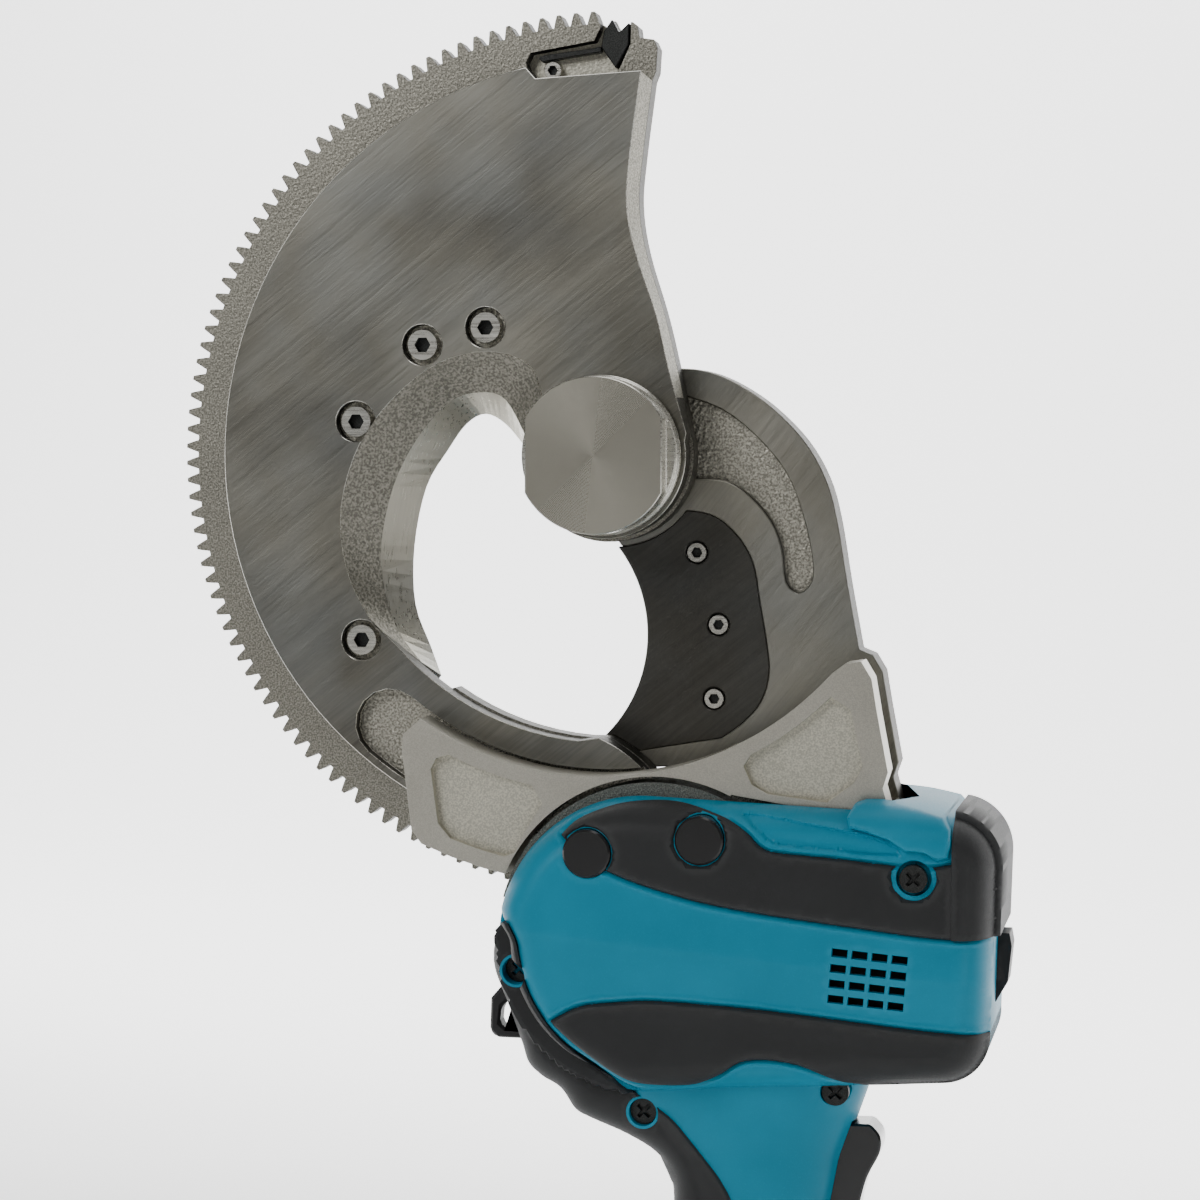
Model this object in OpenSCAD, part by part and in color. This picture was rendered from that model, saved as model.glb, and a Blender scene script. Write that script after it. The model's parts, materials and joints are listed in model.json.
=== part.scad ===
// Battery cable cutter. A toothed sector blade swings about a large pivot bolt and
// shears past a fixed blade. A pinion on a cross shaft drives the sector's rim, and a
// motor in the barrel turns the cross shaft through a planetary stage and a bevel pair.
// Origin: centre of the battery's bottom face. +Z up, -Y is the side with the screws.

/* [Head] */
// Height of the blade's pivot above the battery's bottom face
pivot_height = 360; // [350:1:370]
// Sideways place of the pivot from the battery's centre
pivot_x = -30; // [-34:1:-26]
// Module of the sector's teeth
gear_module = 1.5; // [1.5:0.1:1.5]
// Teeth that a full circle of the sector would have
sector_teeth = 158; // [158:1:158]
// Teeth that the sector carries
sector_cut_teeth = 84; // [80:1:84]
// Teeth of the drive pinion
pinion_teeth = 16; // [16:1:16]
// Half thickness of the sector blade
blade_half = 7.5; // [7:0.1:7.6]
// Outer radius of the raised blade face
face_r = 106.6; // [105:0.1:108]
// Radius of the pivot bolt's shank
bolt_r = 12; // [10:0.5:13]
// Radius of the pivot bolt's head
bolt_head_r = 21; // [20:0.5:22]
// Front face of the guide bracket and back face of the jaw frame, from the middle plane
head_half = 20.2; // [19:0.1:20.4]
// Gap between the blade and the plates on either side of it
side_gap = 0.5; // [0.4:0.1:0.8]

/* [Housing] */
// Radius of the housing's round end
round_r = 39.5; // [38:0.5:40]
// Half width of the housing
housing_half = 36; // [34:0.5:37]
// Wall of the housing shells
wall = 3; // [2.5:0.1:3.5]
// Downward slope of the motor barrel
barrel_tilt = 5.3; // [4:0.1:6]
// Length of the battery
battery_l = 118; // [110:1:120]
// Width of the battery
battery_w = 75; // [72:1:78]
// Height of the battery's case under the rails
battery_h = 60; // [56:1:62]
// Travel of the trigger
trigger_travel = 6; // [4:0.5:7]

/* [Hidden] */
$fn = 96;
sector_pitch = 360 / sector_teeth;
sector_pr = gear_module * sector_teeth / 2;
sector_root = sector_pr - 1.25 * gear_module;
sector_tip = sector_pr + gear_module;
pinion_pr = gear_module * pinion_teeth / 2;
first_tooth = 92.1;
pinion_line = -84;
drive = [(sector_pr + pinion_pr) * cos(pinion_line), (sector_pr + pinion_pr) * sin(pinion_line)];
near_tooth = round((pinion_line + 360 - first_tooth) / sector_pitch);
tooth_off = first_tooth + near_tooth * sector_pitch - pinion_line - 360;
pinion_gap = pinion_line + 180 - tooth_off * sector_teeth / pinion_teeth;
plate_in = blade_half + side_gap;
case_centre = [16.5, drive[1]];
case_r = 43;
foot_bolts = [[66, -107], [75, -101]];
case_disc_r = 35.8;
case_step_r = 32.4;
case_bolts = [for (a = [200, 250, 290, 318]) drive + [28.2 * cos(a), 28.2 * sin(a)]];
collar_half = 20.4;
disc_half = 17;
case_half = 25;
jaw_centre = [-30, -49];
jaw_r = 39.2;
moving_screws = [[-32.7, 34.7], [-50.3, 30.1], [-69.1, 9.3], [-67.7, -50.5]];
spring_screw_at = [-15.9, 104.6];
fixed_screws = [[22.9, -26.5], [28.9, -46.2], [27.7, -66.5]];
// Housing screws: x, z and the depth of the head's face
housing_screws = [[-21, -138, -18.6], [13, -175.5, -17.6], [64.5, -168.5, -17.6], [86.5, -109, -34.6]];
plug_places = [[0.8, -104.4], [30.7, -100.3]];
battery_x = -pivot_x;
battery_top = battery_h - pivot_height;
battery_screw_x = 52.5;
planet_ring = 18;
planet_small = 6;

// ---------- 2D helpers ----------
function polar(r, a) = [r * cos(a), r * sin(a)];
function arc(c, r, a0, a1, n) = [for (i = [0:n]) c + polar(r, a0 + (a1 - a0) * i / n)];
function rest(p) = [for (i = [1:len(p) - 1]) p[i]];
function reversed(p) = [for (i = [len(p) - 1:-1:0]) p[i]];
function knot(p, i) = p[min(max(i, 0), len(p) - 1)];
function blend_at(a, b, c, d, t) =
    0.5 * (2 * b + (c - a) * t + (2 * a - 5 * b + 4 * c - d) * t * t
    + (3 * b - a - 3 * c + d) * t * t * t);
// Smooth curve through the points of p, with n steps between neighbours
function curve(p, n) = [for (i = [0:len(p) - 2], k = [0:n - 1])
    blend_at(knot(p, i - 1), p[i], p[i + 1], knot(p, i + 2), k / n), p[len(p) - 1]];
function round_rect(w, d, r) = [for (q = [0:3], k = [0:5])
    [((q == 0 || q == 3) ? 1 : -1) * (w / 2 - r), (q < 2 ? 1 : -1) * (d / 2 - r)]
    + polar(r, q * 90 + k * 18)];

// Half angle of an involute tooth at radius r, and the outline of one tooth
function inv(a) = tan(a) * 180 / PI - a;
function half_angle(n, m, r, slack) = 90 / n - slack * 90 / PI / (m * n / 2) + inv(20)
    - inv(acos(min(1, m * n / 2 * cos(20) / r)));
function tooth(n, m, at, r0, r1, slack) = let (rs = [for (k = [0:4]) r0 + (r1 - r0) * k / 4])
    concat([for (r = rs) polar(r, at - half_angle(n, m, r, slack))],
    [for (r = reversed(rs)) polar(r, at + half_angle(n, m, r, slack))]);
function gear_outline(n, m, at, r0, r1, slack) =
    [for (i = [0:n - 1]) each tooth(n, m, at + i * 360 / n, r0, r1, slack)];

// ---------- 3D helpers, in the head's frame: x right, z up from the pivot ----------
module at_pivot() { translate([pivot_x, 0, pivot_height]) children(); }
module slab(y0, y1) { translate([0, y1, 0]) rotate([90, 0, 0]) linear_extrude(y1 - y0) children(); }
module peg(p, r, y0, y1) {
    translate([p[0], y1, p[1]]) rotate([90, 0, 0]) cylinder(h = y1 - y0, r = r);
}
// Solid between an inner and an outer curve of equal point count; the inner curve may
// differ from the front at y0 to the back at y1, which makes a ground bevel
module ruled_band(front_in, back_in, outer, y0, y1) {
    n = len(outer);
    pts = concat([for (p = front_in) [p[0], y0, p[1]]], [for (p = outer) [p[0], y0, p[1]]],
        [for (p = outer) [p[0], y1, p[1]]], [for (p = back_in) [p[0], y1, p[1]]]);
    strips = [for (k = [0:3], i = [0:n - 2]) let (a = k * n + i, b = ((k + 1) % 4) * n + i)
        each [[a, a + 1, b + 1], [a, b + 1, b]]];
    ends = [[0, n, 2 * n], [0, 2 * n, 3 * n], [n - 1, 3 * n - 1, 2 * n - 1], [n - 1, 4 * n - 1, 3 * n - 1]];
    polyhedron(pts, concat(strips, ends));
}
// Frame of the motor: z runs along the barrel from the cross shaft
module along_barrel(s) {
    translate([drive[0], 0, drive[1]]) rotate([0, 90 + barrel_tilt, 0]) translate([0, 0, s]) children();
}
module socket_screw(p, head, shank, y0, deep, length) {
    difference() {
        union() {
            peg(p, head, y0, y0 + deep);
            peg(p, shank, y0 + deep, y0 + length);
        }
        translate([p[0], y0 + deep * 0.6, p[1]]) rotate([90, 0, 0])
            cylinder(h = deep, r = head * 0.55, $fn = 6);
    }
}
module cross_screw(p, head, shank, y0, deep, length) {
    difference() {
        union() {
            peg(p, head, y0, y0 + deep);
            peg(p, shank, y0 + deep, y0 + length);
        }
        for (a = [45, 135]) translate([p[0], y0, p[1]]) rotate([0, a, 0])
            cube([head * 1.2, deep, head * 0.25], center = true);
    }
}

// ---------- blade outlines ----------
right_back = [[12, 101], [9.4, 81], [8.4, 68], [10.3, 55], [15.4, 38], [19, 23], [22.6, 6]];
right_front = [[10.2, 102.9], [7.1, 80], [6.4, 66], [9, 53.5], [14.4, 37.5], [17.8, 23], [22.6, 6]];
hook_end = [[-1.3, -76.4], [4.6, -79.5], [11.4, -85.4], [19, -97], [24.5, -113.8]];
bevel_top = [[-17.1, 16.3], [-20.5, 24.4], [-31.8, 28.1], [-45.7, 25.1], [-58.5, 15.5],
    [-68.2, 2.6], [-73.2, -14], [-72, -30.2], [-66.4, -42.8], [-61.6, -48.3]];
bevel_low = [[-23, 5], [-28.8, 15.3], [-35.9, 17.3], [-44.6, 14.6], [-53.7, 4.6],
    [-60.5, -8.5], [-64, -25], [-62.8, -38], [-59.1, -48.6], [-52.5, -57]];
cut_edge = [[-25.4, 3], [-30.4, 8.7], [-36, 11.5], [-41.4, 8.8], [-46.6, 1.8],
    [-52.9, -8.6], [-56.4, -25], [-56.2, -41], [-51.9, -52.7], [-48.8, -61]];
insert_outer = [[-53, -66.5], [-65, -63.5], [-77, -51], [-84, -30], [-84, -8], [-76, 15],
    [-62, 32], [-45, 42.5], [-26, 40], [-19.5, 16]];
// Face layer: outer arc, hook end, inner edge of the hook, cable opening, hub, right edge
function face_outline(opening, hook_r, right, hub_r) = concat(
    arc([0, 0], face_r, 101.6, 277, 60),
    reversed([for (p = curve(hook_end, 5)) if (norm(p) < face_r - 2) p]),
    rest(arc([0, 0], hook_r, 268, 222, 14)),
    reversed(curve(opening, 4)),
    arc([0, 0], hub_r, 150, 370, 30),
    reversed(curve(right, 5)),
    [[-18.8, right[0][1] - 1.5]]);
// Rim layer: teeth, hook end, seat of the moving cutter, hub, right edge
function rim_outline() = concat(
    [polar(sector_root, first_tooth - 1.2)],
    [for (i = [0:sector_cut_teeth - 1]) each tooth(sector_teeth, gear_module,
        first_tooth + i * sector_pitch, sector_root, sector_tip, 0.2)],
    reversed([for (p = curve(hook_end, 5)) p + [0.9, -0.4]]),
    arc([0, 0], 77, 266, 236, 8),
    curve(insert_outer, 4),
    arc([0, 0], 23.5, 150, 370, 30),
    reversed(curve(right_back, 5)),
    [[13, 103.5], [13.4, 109.8], [12.4, 112], [8.4, 112.6], [8, 115.6], [6.6, 116.8], [5.6, 116.9],
        [2.8, 114.1], [0.9, 117.9], [-1, 115.2]]);
// Pocket behind the face plate's top edge, which holds the spring and the tooth block
tip_pocket = [[2.4, 103.4], [0, 102.4], [-19, 101.8], [-22, 103.8], [-22.9, 106.6], [-21.6, 109.2],
    [-4, 112], [-2.6, 114.9], [-1.5, 119], [6.1, 119], [5.9, 111]];
pocket_floor = 4.2;

// ---------- moving blade ----------
module moving_blade() color([0.72, 0.7, 0.64]) at_pivot() difference() {
    slab(-blade_half, 0) polygon(face_outline(bevel_top, 77.6, right_front, 22.5));
    peg([0, 0], bolt_r + 3, -10, 10);
    for (p = moving_screws) {
        peg(p, 5.6, -10, -3.2);
        peg(p, 3.1, -10, 1);
    }
    slab(-10, -3.6) polygon(concat(arc([0, 0], 104.5, 284, 231, 20),
        rest(arc(polar(94.75, 231), 9.75, 231, 51, 8)), rest(arc([0, 0], 85, 231, 286, 18))));
}
module blade_rim() color([0.7, 0.68, 0.62]) at_pivot() difference() {
    slab(0, blade_half - 0.2) polygon(rim_outline());
    peg([0, 0], bolt_r + 3, -10, 10);
    slab(-1, pocket_floor) polygon(tip_pocket);
    peg(spring_screw_at, 1.25, -1, 9);
}
module moving_cutter() color([0.8, 0.78, 0.72]) at_pivot() difference() {
    ruled_band(curve(bevel_low, 4), curve(cut_edge, 4), reversed(curve(insert_outer, 4)),
        0.05, blade_half - 0.1);
    for (p = moving_screws) peg(p, 2.5, -1, 10);
}
module cutter_screws() color([0.75, 0.73, 0.68]) at_pivot()
    for (p = moving_screws) socket_screw(p, 4.1, 2.5, -7.3, 4, 13.8);
module tooth_block() color([0.16, 0.16, 0.16]) at_pivot() slab(0.3, pocket_floor)
    polygon([[-2.2, 110.4], [-1.4, 114.6], [0.8, 117.8], [2.7, 114.2], [5.5, 116.8],
        [5.3, 110.9], [1.8, 104.6]]);
module tooth_spring() color([0.2, 0.2, 0.2]) at_pivot() slab(1, pocket_floor) polygon(concat(
    curve([[-19.5, 107.6], [-18, 108.6], [-6, 110], [-2.4, 110.6]], 4),
    curve([[-2.3, 109.2], [-6, 108.7], [-16.5, 107.2], [-18.6, 106.8]], 4)));
module spring_screw() color([0.7, 0.68, 0.62]) at_pivot()
    socket_screw(spring_screw_at, 2.4, 1.25, pocket_floor - 2.4, 2.4, 5.4);

// ---------- pivot ----------
module pivot_bolt() color([0.74, 0.72, 0.66]) at_pivot() {
    difference() {
        peg([0, 0], bolt_head_r, -22.5, -12.3);
        for (s = [-1, 1]) translate([s * (18.5 + 10), -22.5, 0]) cube([20, 15, 60], center = true);
    }
    peg([0, 0], bolt_head_r + 0.6, -12.3, -9.6);
    peg([0, 0], bolt_r, -9.6, 27);
}
module pivot_bush() color([0.72, 0.55, 0.28]) at_pivot() difference() {
    peg([0, 0], bolt_r + 3, -blade_half + 0.1, blade_half - 0.3);
    peg([0, 0], bolt_r + 0.05, -10, 10);
}
module thrust_washers() color([0.5, 0.49, 0.46]) at_pivot() {
    difference() {
        peg([0, 0], 20.5, -9.6, -blade_half - 0.15);
        peg([0, 0], bolt_r, -12, 0);
    }
    difference() {
        peg([0, 0], 19, 20.3, 22.3);
        peg([0, 0], bolt_r, 15, 30);
    }
}
module pivot_nut() color([0.6, 0.58, 0.54]) at_pivot() difference() {
    translate([0, 30.3, 0]) rotate([90, 0, 0]) cylinder(h = 8, r = 20, $fn = 6);
    peg([0, 0], bolt_r, 20, 27);
}

// ---------- fixed jaw ----------
foot_edge = [[77, -87], [79, -94], [81.5, -96], [82, -106], [76, -111.5], [62, -112.5], [56, -98]];
module foot() polygon(concat([[46, -84]], foot_edge));
wing_tip = [[71.3, -54], [74, -58.5], [75.6, -68], [78.4, -83]];
wing_end = [[-50.4, -101], [-52.9, -80], [-52.7, -75.2]];
module frame_face() difference() {
    polygon(concat(arc([0, 0], 23.5, 262, 90, 24),
        curve([[4, 23.7], [18, 23.8], [26.3, 22.8], [34.6, 19.2], [43.6, 13], [52.4, 4], [58.2, -6],
            [61.4, -17], [64.4, -35], [67.6, -52.5]], 4),
        wing_tip, foot_edge, [[16, -118]], arc([0, 0], 115, 260, 245.5, 5), wing_end, [jaw_centre]));
    translate(jaw_centre) circle(r = jaw_r + 1);
    translate(case_centre) circle(r = case_r + 1.5);
}
module wing_face() difference() {
    polygon(concat(arc([0, 0], 85.5, 236, 318, 30), [[67, -54.6]], wing_tip, [[77, -87.4], [66.6, -95.2]],
        arc([0, 0], 115, 300, 245.5, 12), wing_end));
    translate(case_centre) circle(r = case_r + 1.5);
    polygon([[16, -130], [-19, -112.5], [10, -150], [66, -110], [66.6, -94.6], [37, -89.7]]);
}
fixed_top = [[14, -20.4], [17.8, -15.3], [27.2, -16.3], [33.9, -21.5], [38.4, -29], [40.3, -39.4],
    [42.4, -51.9], [42.9, -59.5], [40.8, -67], [35.7, -73], [29.8, -77.3]];
module fixed_face(grow) difference() {
    polygon(concat(curve(fixed_top, 4), [[6.8 + grow, -81 - grow], [-0.1, -76.9 - grow],
        [-4.6, -77.6 - grow], [-30, -60], [-20, -22], [0, -24.9]]));
    translate(jaw_centre) circle(r = jaw_r);
    circle(r = 25);
}
module jaw_frame() color([0.78, 0.76, 0.7]) at_pivot() difference() {
    slab(plate_in, head_half) frame_face();
    slab(0, plate_in + 7.1) fixed_face(0.1);
    slab(0, plate_in + 3) polygon(concat(
        curve([[19, 16.5], [29.6, 12.7], [38.9, 5.6], [47.3, -4.3], [51.8, -15.2], [54.5, -26.7],
            [54.6, -34], [51, -37.4], [47.4, -34.3], [46.2, -25.1], [43.2, -17.7], [37.3, -11],
            [30.5, -6.9], [21.2, -6.4]], 3)));
    peg([0, 0], bolt_r + 0.05, 0, 30);
    for (p = fixed_screws) peg(p, 1.6, 0, 30);
    for (p = foot_bolts) peg(p, 3.05, 0, 30);
}
module fixed_cutter() color([0.36, 0.35, 0.32]) at_pivot() difference() {
    slab(plate_in, plate_in + 7) fixed_face(0);
    for (p = fixed_screws) {
        peg(p, 3.1, 0, plate_in + 2.6);
        peg(p, 1.6, 0, 30);
    }
}
module fixed_cutter_screws() color([0.75, 0.73, 0.68]) at_pivot()
    for (p = fixed_screws) socket_screw(p, 2.7, 1.55, plate_in + 0.2, 2.4, 10);
module guide_bracket() color([0.82, 0.8, 0.74]) at_pivot() difference() {
    slab(-head_half, -plate_in - 0.2) union() {
        wing_face();
        difference() {
            foot();
            translate(case_centre) circle(r = case_r + 1.5);
        }
    }
    slab(-30, -head_half + 2.5) polygon(concat(
        arc([0, 0], 89.8, 243.5, 259, 6), [[-14.2, -93], [-19.5, -101.5], [-22, -106.6]],
        arc([0, 0], 110.4, 257, 249, 4), [[-43, -99], [-45, -84.5], [-43.5, -81.5]]));
    slab(-30, -head_half + 2.5) polygon(concat(
        arc([0, 0], 89.6, 298, 315, 6), [[68.5, -66.6], [71.8, -81.5], [69.5, -85.8], [62.5, -91.2]],
        [[46.7, -89.3], [42.3, -86.8], [40.2, -82]]));
    for (p = foot_bolts) peg(p, 3.05, -30, 0);
}
module foot_spacer() color([0.6, 0.59, 0.55]) at_pivot() difference() {
    slab(-plate_in - 0.2, plate_in) difference() {
        foot();
        circle(r = sector_tip + 1.2);
        translate(case_centre) circle(r = case_r + 1.5);
    }
    for (p = foot_bolts) peg(p, 3.05, -30, 30);
}
module foot_bolts() color([0.2, 0.2, 0.2]) at_pivot()
    for (p = foot_bolts) socket_screw(p, 4.2, 3.05, -head_half - 3, 3, 3 + 2 * head_half);

// ---------- gear case and drive ----------
module case_disc(r) difference() {
    translate(drive) circle(r = r);
    for (p = case_bolts) translate(p) circle(r = 2.05);
    translate([housing_screws[0][0], housing_screws[0][1]]) circle(r = 3.8);
}
// Half of the case on one side of the rim: s is -1 in front, 1 behind
module case_half_body(s) {
    inner = s * (plate_in + (s < 0 ? 0.2 : 0));
    slab(min(inner, s * collar_half), max(inner, s * collar_half)) intersection() {
        translate(case_centre) circle(r = case_r);
        circle(r = sector_tip + 1);
    }
    slab(min(inner, s * disc_half), max(inner, s * disc_half)) case_disc(case_disc_r);
    slab(min(s * disc_half, s * case_half), max(s * disc_half, s * case_half)) case_disc(case_step_r);
}
module gear_case_front() color([0.45, 0.47, 0.44]) at_pivot() difference() {
    case_half_body(-1);
    peg(drive, bevel_room_r, -19, 0);
    peg(drive, 9.5, -30, 0);
    along_barrel(14) cylinder(h = 60, r = 11.02);
}
module gear_case_middle() color([0.45, 0.47, 0.44]) at_pivot() difference() {
    slab(-plate_in - 0.2, plate_in) difference() {
        case_disc(case_disc_r);
        circle(r = sector_tip + 1);
        translate(drive) circle(r = 15.5);
        polygon([drive, drive + [60, -4], drive + [60, 40], drive + [0, 40]]);
    }
    along_barrel(0) cylinder(h = 60, r = 11.02);
    peg(drive, bevel_room_r, -20, -0.5);
}
module gear_case_rear() color([0.45, 0.47, 0.44]) at_pivot() difference() {
    case_half_body(1);
    peg(drive, 9.5, 0, 22);
    along_barrel(14) cylinder(h = 60, r = 11.02);
}
module case_bolts() color([0.2, 0.2, 0.2]) at_pivot()
    for (p = case_bolts) socket_screw(p, 3.2, 2.05, -case_half - 2.5, 2.5, 2 * case_half + 1);
module drive_pinion() color([0.55, 0.53, 0.5]) at_pivot() translate([drive[0], 0, drive[1]])
    difference() {
        slab(0.1, blade_half - 0.3) polygon(gear_outline(pinion_teeth, gear_module, pinion_gap + 11.25,
            pinion_pr - 1.25 * gear_module, pinion_pr + 0.95 * gear_module, 0.2));
        peg([0, 0], 5, 0, 10);
    }
module cross_shaft() color([0.62, 0.61, 0.58]) at_pivot() peg(drive, 5, -24.5, 21.5);
// Ball bearing as one turned ring, with its two shield grooves
module bearing(bore, outer, w) rotate_extrude() difference() {
    translate([bore, 0]) square([outer - bore, w]);
    translate([bore + 1.4, -0.1]) square([outer - bore - 3, 0.7]);
    translate([bore + 1.4, w - 0.6]) square([outer - bore - 3, 0.7]);
}
module shaft_bearings() color([0.7, 0.7, 0.7]) at_pivot() translate([drive[0], 0, drive[1]])
    for (y = [-19.2, 18]) translate([0, y, 0]) rotate([90, 0, 0]) bearing(5.03, 9.45, 5.3);
bevel_big = 24;
bevel_small = 9;
bevel_room_r = 25;
module bevel_gear() color([0.5, 0.49, 0.46]) at_pivot() translate([drive[0], 0, drive[1]])
    rotate([90, 0, 0]) difference() {
        rotate_extrude() polygon([[5, 2], [12, 2], [13, 5], [bevel_big - 0.4, bevel_small - 0.2],
            [bevel_big - 2, bevel_small + 4], [12, bevel_small + 6], [5, bevel_small + 6]]);
        for (i = [0:31]) rotate(i * 360 / 32) translate([19, 0, 6.6]) rotate([0, -20.5, 0])
            cube([14, 1.6, 2.4], center = true);
    }
module bevel_pinion() color([0.5, 0.49, 0.46]) at_pivot() along_barrel(0) {
    difference() {
        rotate_extrude() polygon([[0, 15], [5.6, 15], [bevel_small - 0.5, bevel_big - 0.3],
            [bevel_small - 1.5, bevel_big + 2], [5, bevel_big + 3], [5, 37], [0, 37]]);
        for (i = [0:11]) rotate(i * 30) translate([7.3, 0, 19.6]) rotate([0, 20.5, 0])
            cube([2.2, 1.6, 12], center = true);
    }
}
module bevel_bearing() color([0.7, 0.7, 0.7]) at_pivot() along_barrel(27.5) bearing(5.03, 11, 5);
module ring_gear() color([0.5, 0.49, 0.46]) at_pivot() along_barrel(40.3) difference() {
    cylinder(h = 12, r = 21.5);
    translate([0, 0, -1]) linear_extrude(14)
        polygon(gear_outline(36, 1, 5, planet_ring - 0.9, planet_ring + 1.25, -0.2));
}
module planet_carrier() color([0.55, 0.54, 0.5]) at_pivot() along_barrel(37) {
    cylinder(h = 3, r = 16);
    for (i = [0:2]) rotate(i * 120) translate([2 * planet_small, 0, 3]) cylinder(h = 10, r = 2);
}
module planet(i) color([0.6, 0.58, 0.54]) at_pivot() along_barrel(41) rotate(i * 120)
    translate([2 * planet_small, 0, 0]) difference() {
        linear_extrude(8) polygon(gear_outline(12, 1, 15, planet_small - 1.2, planet_small + 0.9, 0.2));
        translate([0, 0, -1]) cylinder(h = 12, r = 2.04);
    }
module planet_1() planet(0);
module planet_2() planet(1);
module planet_3() planet(2);
module sun_gear() color([0.6, 0.58, 0.54]) at_pivot() along_barrel(41) difference() {
    linear_extrude(10) polygon(gear_outline(12, 1, 0, planet_small - 1.2, planet_small + 0.9, 0.2));
    translate([0, 0, -1]) cylinder(h = 12, r = 2.5);
}
module motor_shaft() color([0.65, 0.64, 0.6]) at_pivot() along_barrel(41) cylinder(h = 43.5, r = 2.5);
module rotor_core() color([0.3, 0.3, 0.32]) at_pivot() along_barrel(62.5) difference() {
    cylinder(h = 18, r = 9.4);
    translate([0, 0, -1]) cylinder(h = 20, r = 2.5);
    for (i = [0:3]) rotate(i * 90) translate([7, 0, 9]) cube([1.6, 7, 22], center = true);
}
module motor_fan() color([0.12, 0.12, 0.13]) at_pivot() along_barrel(57) difference() {
    union() {
        cylinder(h = 1.2, r = 18);
        cylinder(h = 4.5, r = 5);
        for (i = [0:10]) rotate(i * 360 / 11) translate([4.5, -0.5, 0]) cube([13, 1, 4]);
    }
    translate([0, 0, -1]) cylinder(h = 10, r = 2.5);
}
module stator() color([0.62, 0.4, 0.2]) at_pivot() along_barrel(62.5) difference() {
    cylinder(h = 18, r = 20);
    translate([0, 0, -1]) cylinder(h = 20, r = 10);
    for (i = [0:5]) rotate(i * 60 + 30) translate([13.5, 0, 9]) cube([5, 4, 22], center = true);
}
module motor_bearings() color([0.7, 0.7, 0.7]) at_pivot() along_barrel(0)
    for (s = [52.8, 80.8]) translate([0, 0, s]) bearing(2.54, 7, 3.5);

// ---------- housing ----------
module barrel(g) hull() {
    $fn = 36;
    peg([13.6, -129.8], round_r + g, -20 - g, 20 + g);
    peg([13.6, -129.8], round_r - 6.5 + g, 1 - housing_half - g, housing_half - 1 + g);
    peg([94, -107], 13 + g, -20 - g, 20 + g);
    peg([93, -151.5], 12.5 + g, -19 - g, 19 + g);
    peg([93, -111], 9 + g, 3 - housing_half - g, housing_half - 3 + g);
    peg([91, -148], 8 + g, 5 - housing_half - g, housing_half - 5 + g);
}
module oval(x, z, a, b, h) translate([x, 0, z]) scale([a, b, 1]) cylinder(h = h, r = 1, $fn = 36);
module grip_top() hull() {
    oval(33, -162, 41, 26, 4);
    oval(41, -200, 21.5, 18.5, 2);
}
module grip_bar(g) hull() {
    oval(40, -192, 21.5 + g, 18.5 + g, 2);
    oval(50, -284, 22.5 + g, 19.5 + g, 2);
}
module grip_foot() hull() {
    oval(49.6, -276, 22, 19, 1);
    translate([battery_x + 6, 0, battery_top + 7.3]) linear_extrude(3)
        polygon(round_rect(92, 64, 12));
    translate([battery_x + 6, 0, battery_top + 0.3]) linear_extrude(1)
        polygon(round_rect(96, 68, 12));
}
rail_w = 52;
rail_h = 7;
module shell(side) at_pivot() difference() {
    union() {
        barrel(0);
        grip_top();
        grip_bar(0);
        grip_foot();
    }
    barrel(-wall);
    grip_bar(-wall);
    translate([27, -11, -196]) cube([27, 22, 46]);
    translate([33.7, -18.3, battery_top + rail_h + 1]) cube([10.6, 36.6, 9]);
    translate([-200, side > 0 ? -200 : 0, -400]) cube([400, 200, 400]);
    slab(-head_half - 0.6, head_half + 0.6) union() {
        circle(r = sector_tip + 1.5);
        offset_foot();
    }
    translate([50, -6.4, -240.4]) cube([40, 12.8, 62]);
    translate([battery_x - 45, -rail_w / 2 - 0.4, battery_top - 1]) cube([120, rail_w + 0.8, rail_h + 2]);
    for (p = housing_screws) peg(p, 2.2, -60, 60);
    for (p = housing_screws) peg(p, 4.2, -60, p[2] + 2.6);
    for (p = foot_bolts) peg(p, 4.6, -24.2, 24.2);
    for (p = plug_places, s = [-1, 1]) peg(p, 6.5, s > 0 ? 31 : -60, s > 0 ? 60 : -31);
    for (i = [0:3], j = [0:3]) translate([65.5 + 5.2 * i, side * 33 - 6, -127.6 - 4.1 * j])
        rotate([0, barrel_tilt, 0]) cube([4.2, 12, 2.3]);
    translate([99, -6.3, -148]) cube([20, 12.6, 26]);
}
module offset_foot() polygon([[44, -80], [79, -84], [81, -92], [83.5, -94], [84, -107], [77, -113.5],
    [61, -114.5], [54, -98]]);
module housing_front() color([0, 0.53, 0.65]) shell(-1);
module housing_rear() color([0, 0.53, 0.65]) shell(1);

// Rubber cushions lie on the shells as thin skins cut to their outlines
module skin(side_cut, t) difference() {
    intersection() {
        barrel(t);
        slab(-60, 60) children();
    }
    barrel(0.02);
    slab(-side_cut, side_cut) translate([-60, -200]) square([200, 200]);
}
upper_edge = [[-6.4, -100], [3, -93.4], [17, -90], [26, -91.6], [36, -96.5], [47, -103], [60, -104.5],
    [80, -105.6], [88, -105]];
upper_low = [[112, -124], [100, -124.6], [74, -123.6], [47, -121], [28, -117], [14, -113.4], [2, -108]];
lower_edge = [[-9.5, -152], [0, -146], [9.5, -144], [24, -143.4], [47, -145], [74, -147.8], [97, -150]];
lower_low = [[97, -170], [87, -165.2], [74, -162], [56, -158.4], [45, -158.2], [30, -165.5], [20, -167],
    [8, -166], [-3, -160]];
module upper_cushion() color([0.25, 0.26, 0.26]) at_pivot() difference() {
    skin(21.2, 1.2) difference() {
        polygon(concat(curve(upper_edge, 4), [[112, -105]], curve(upper_low, 4)));
        translate([housing_screws[3][0], housing_screws[3][1]]) circle(r = 6);
        translate([96, -160]) square([60, 100]);
    }
    for (p = plug_places) peg(p, 6.5, -60, 60);
}
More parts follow.
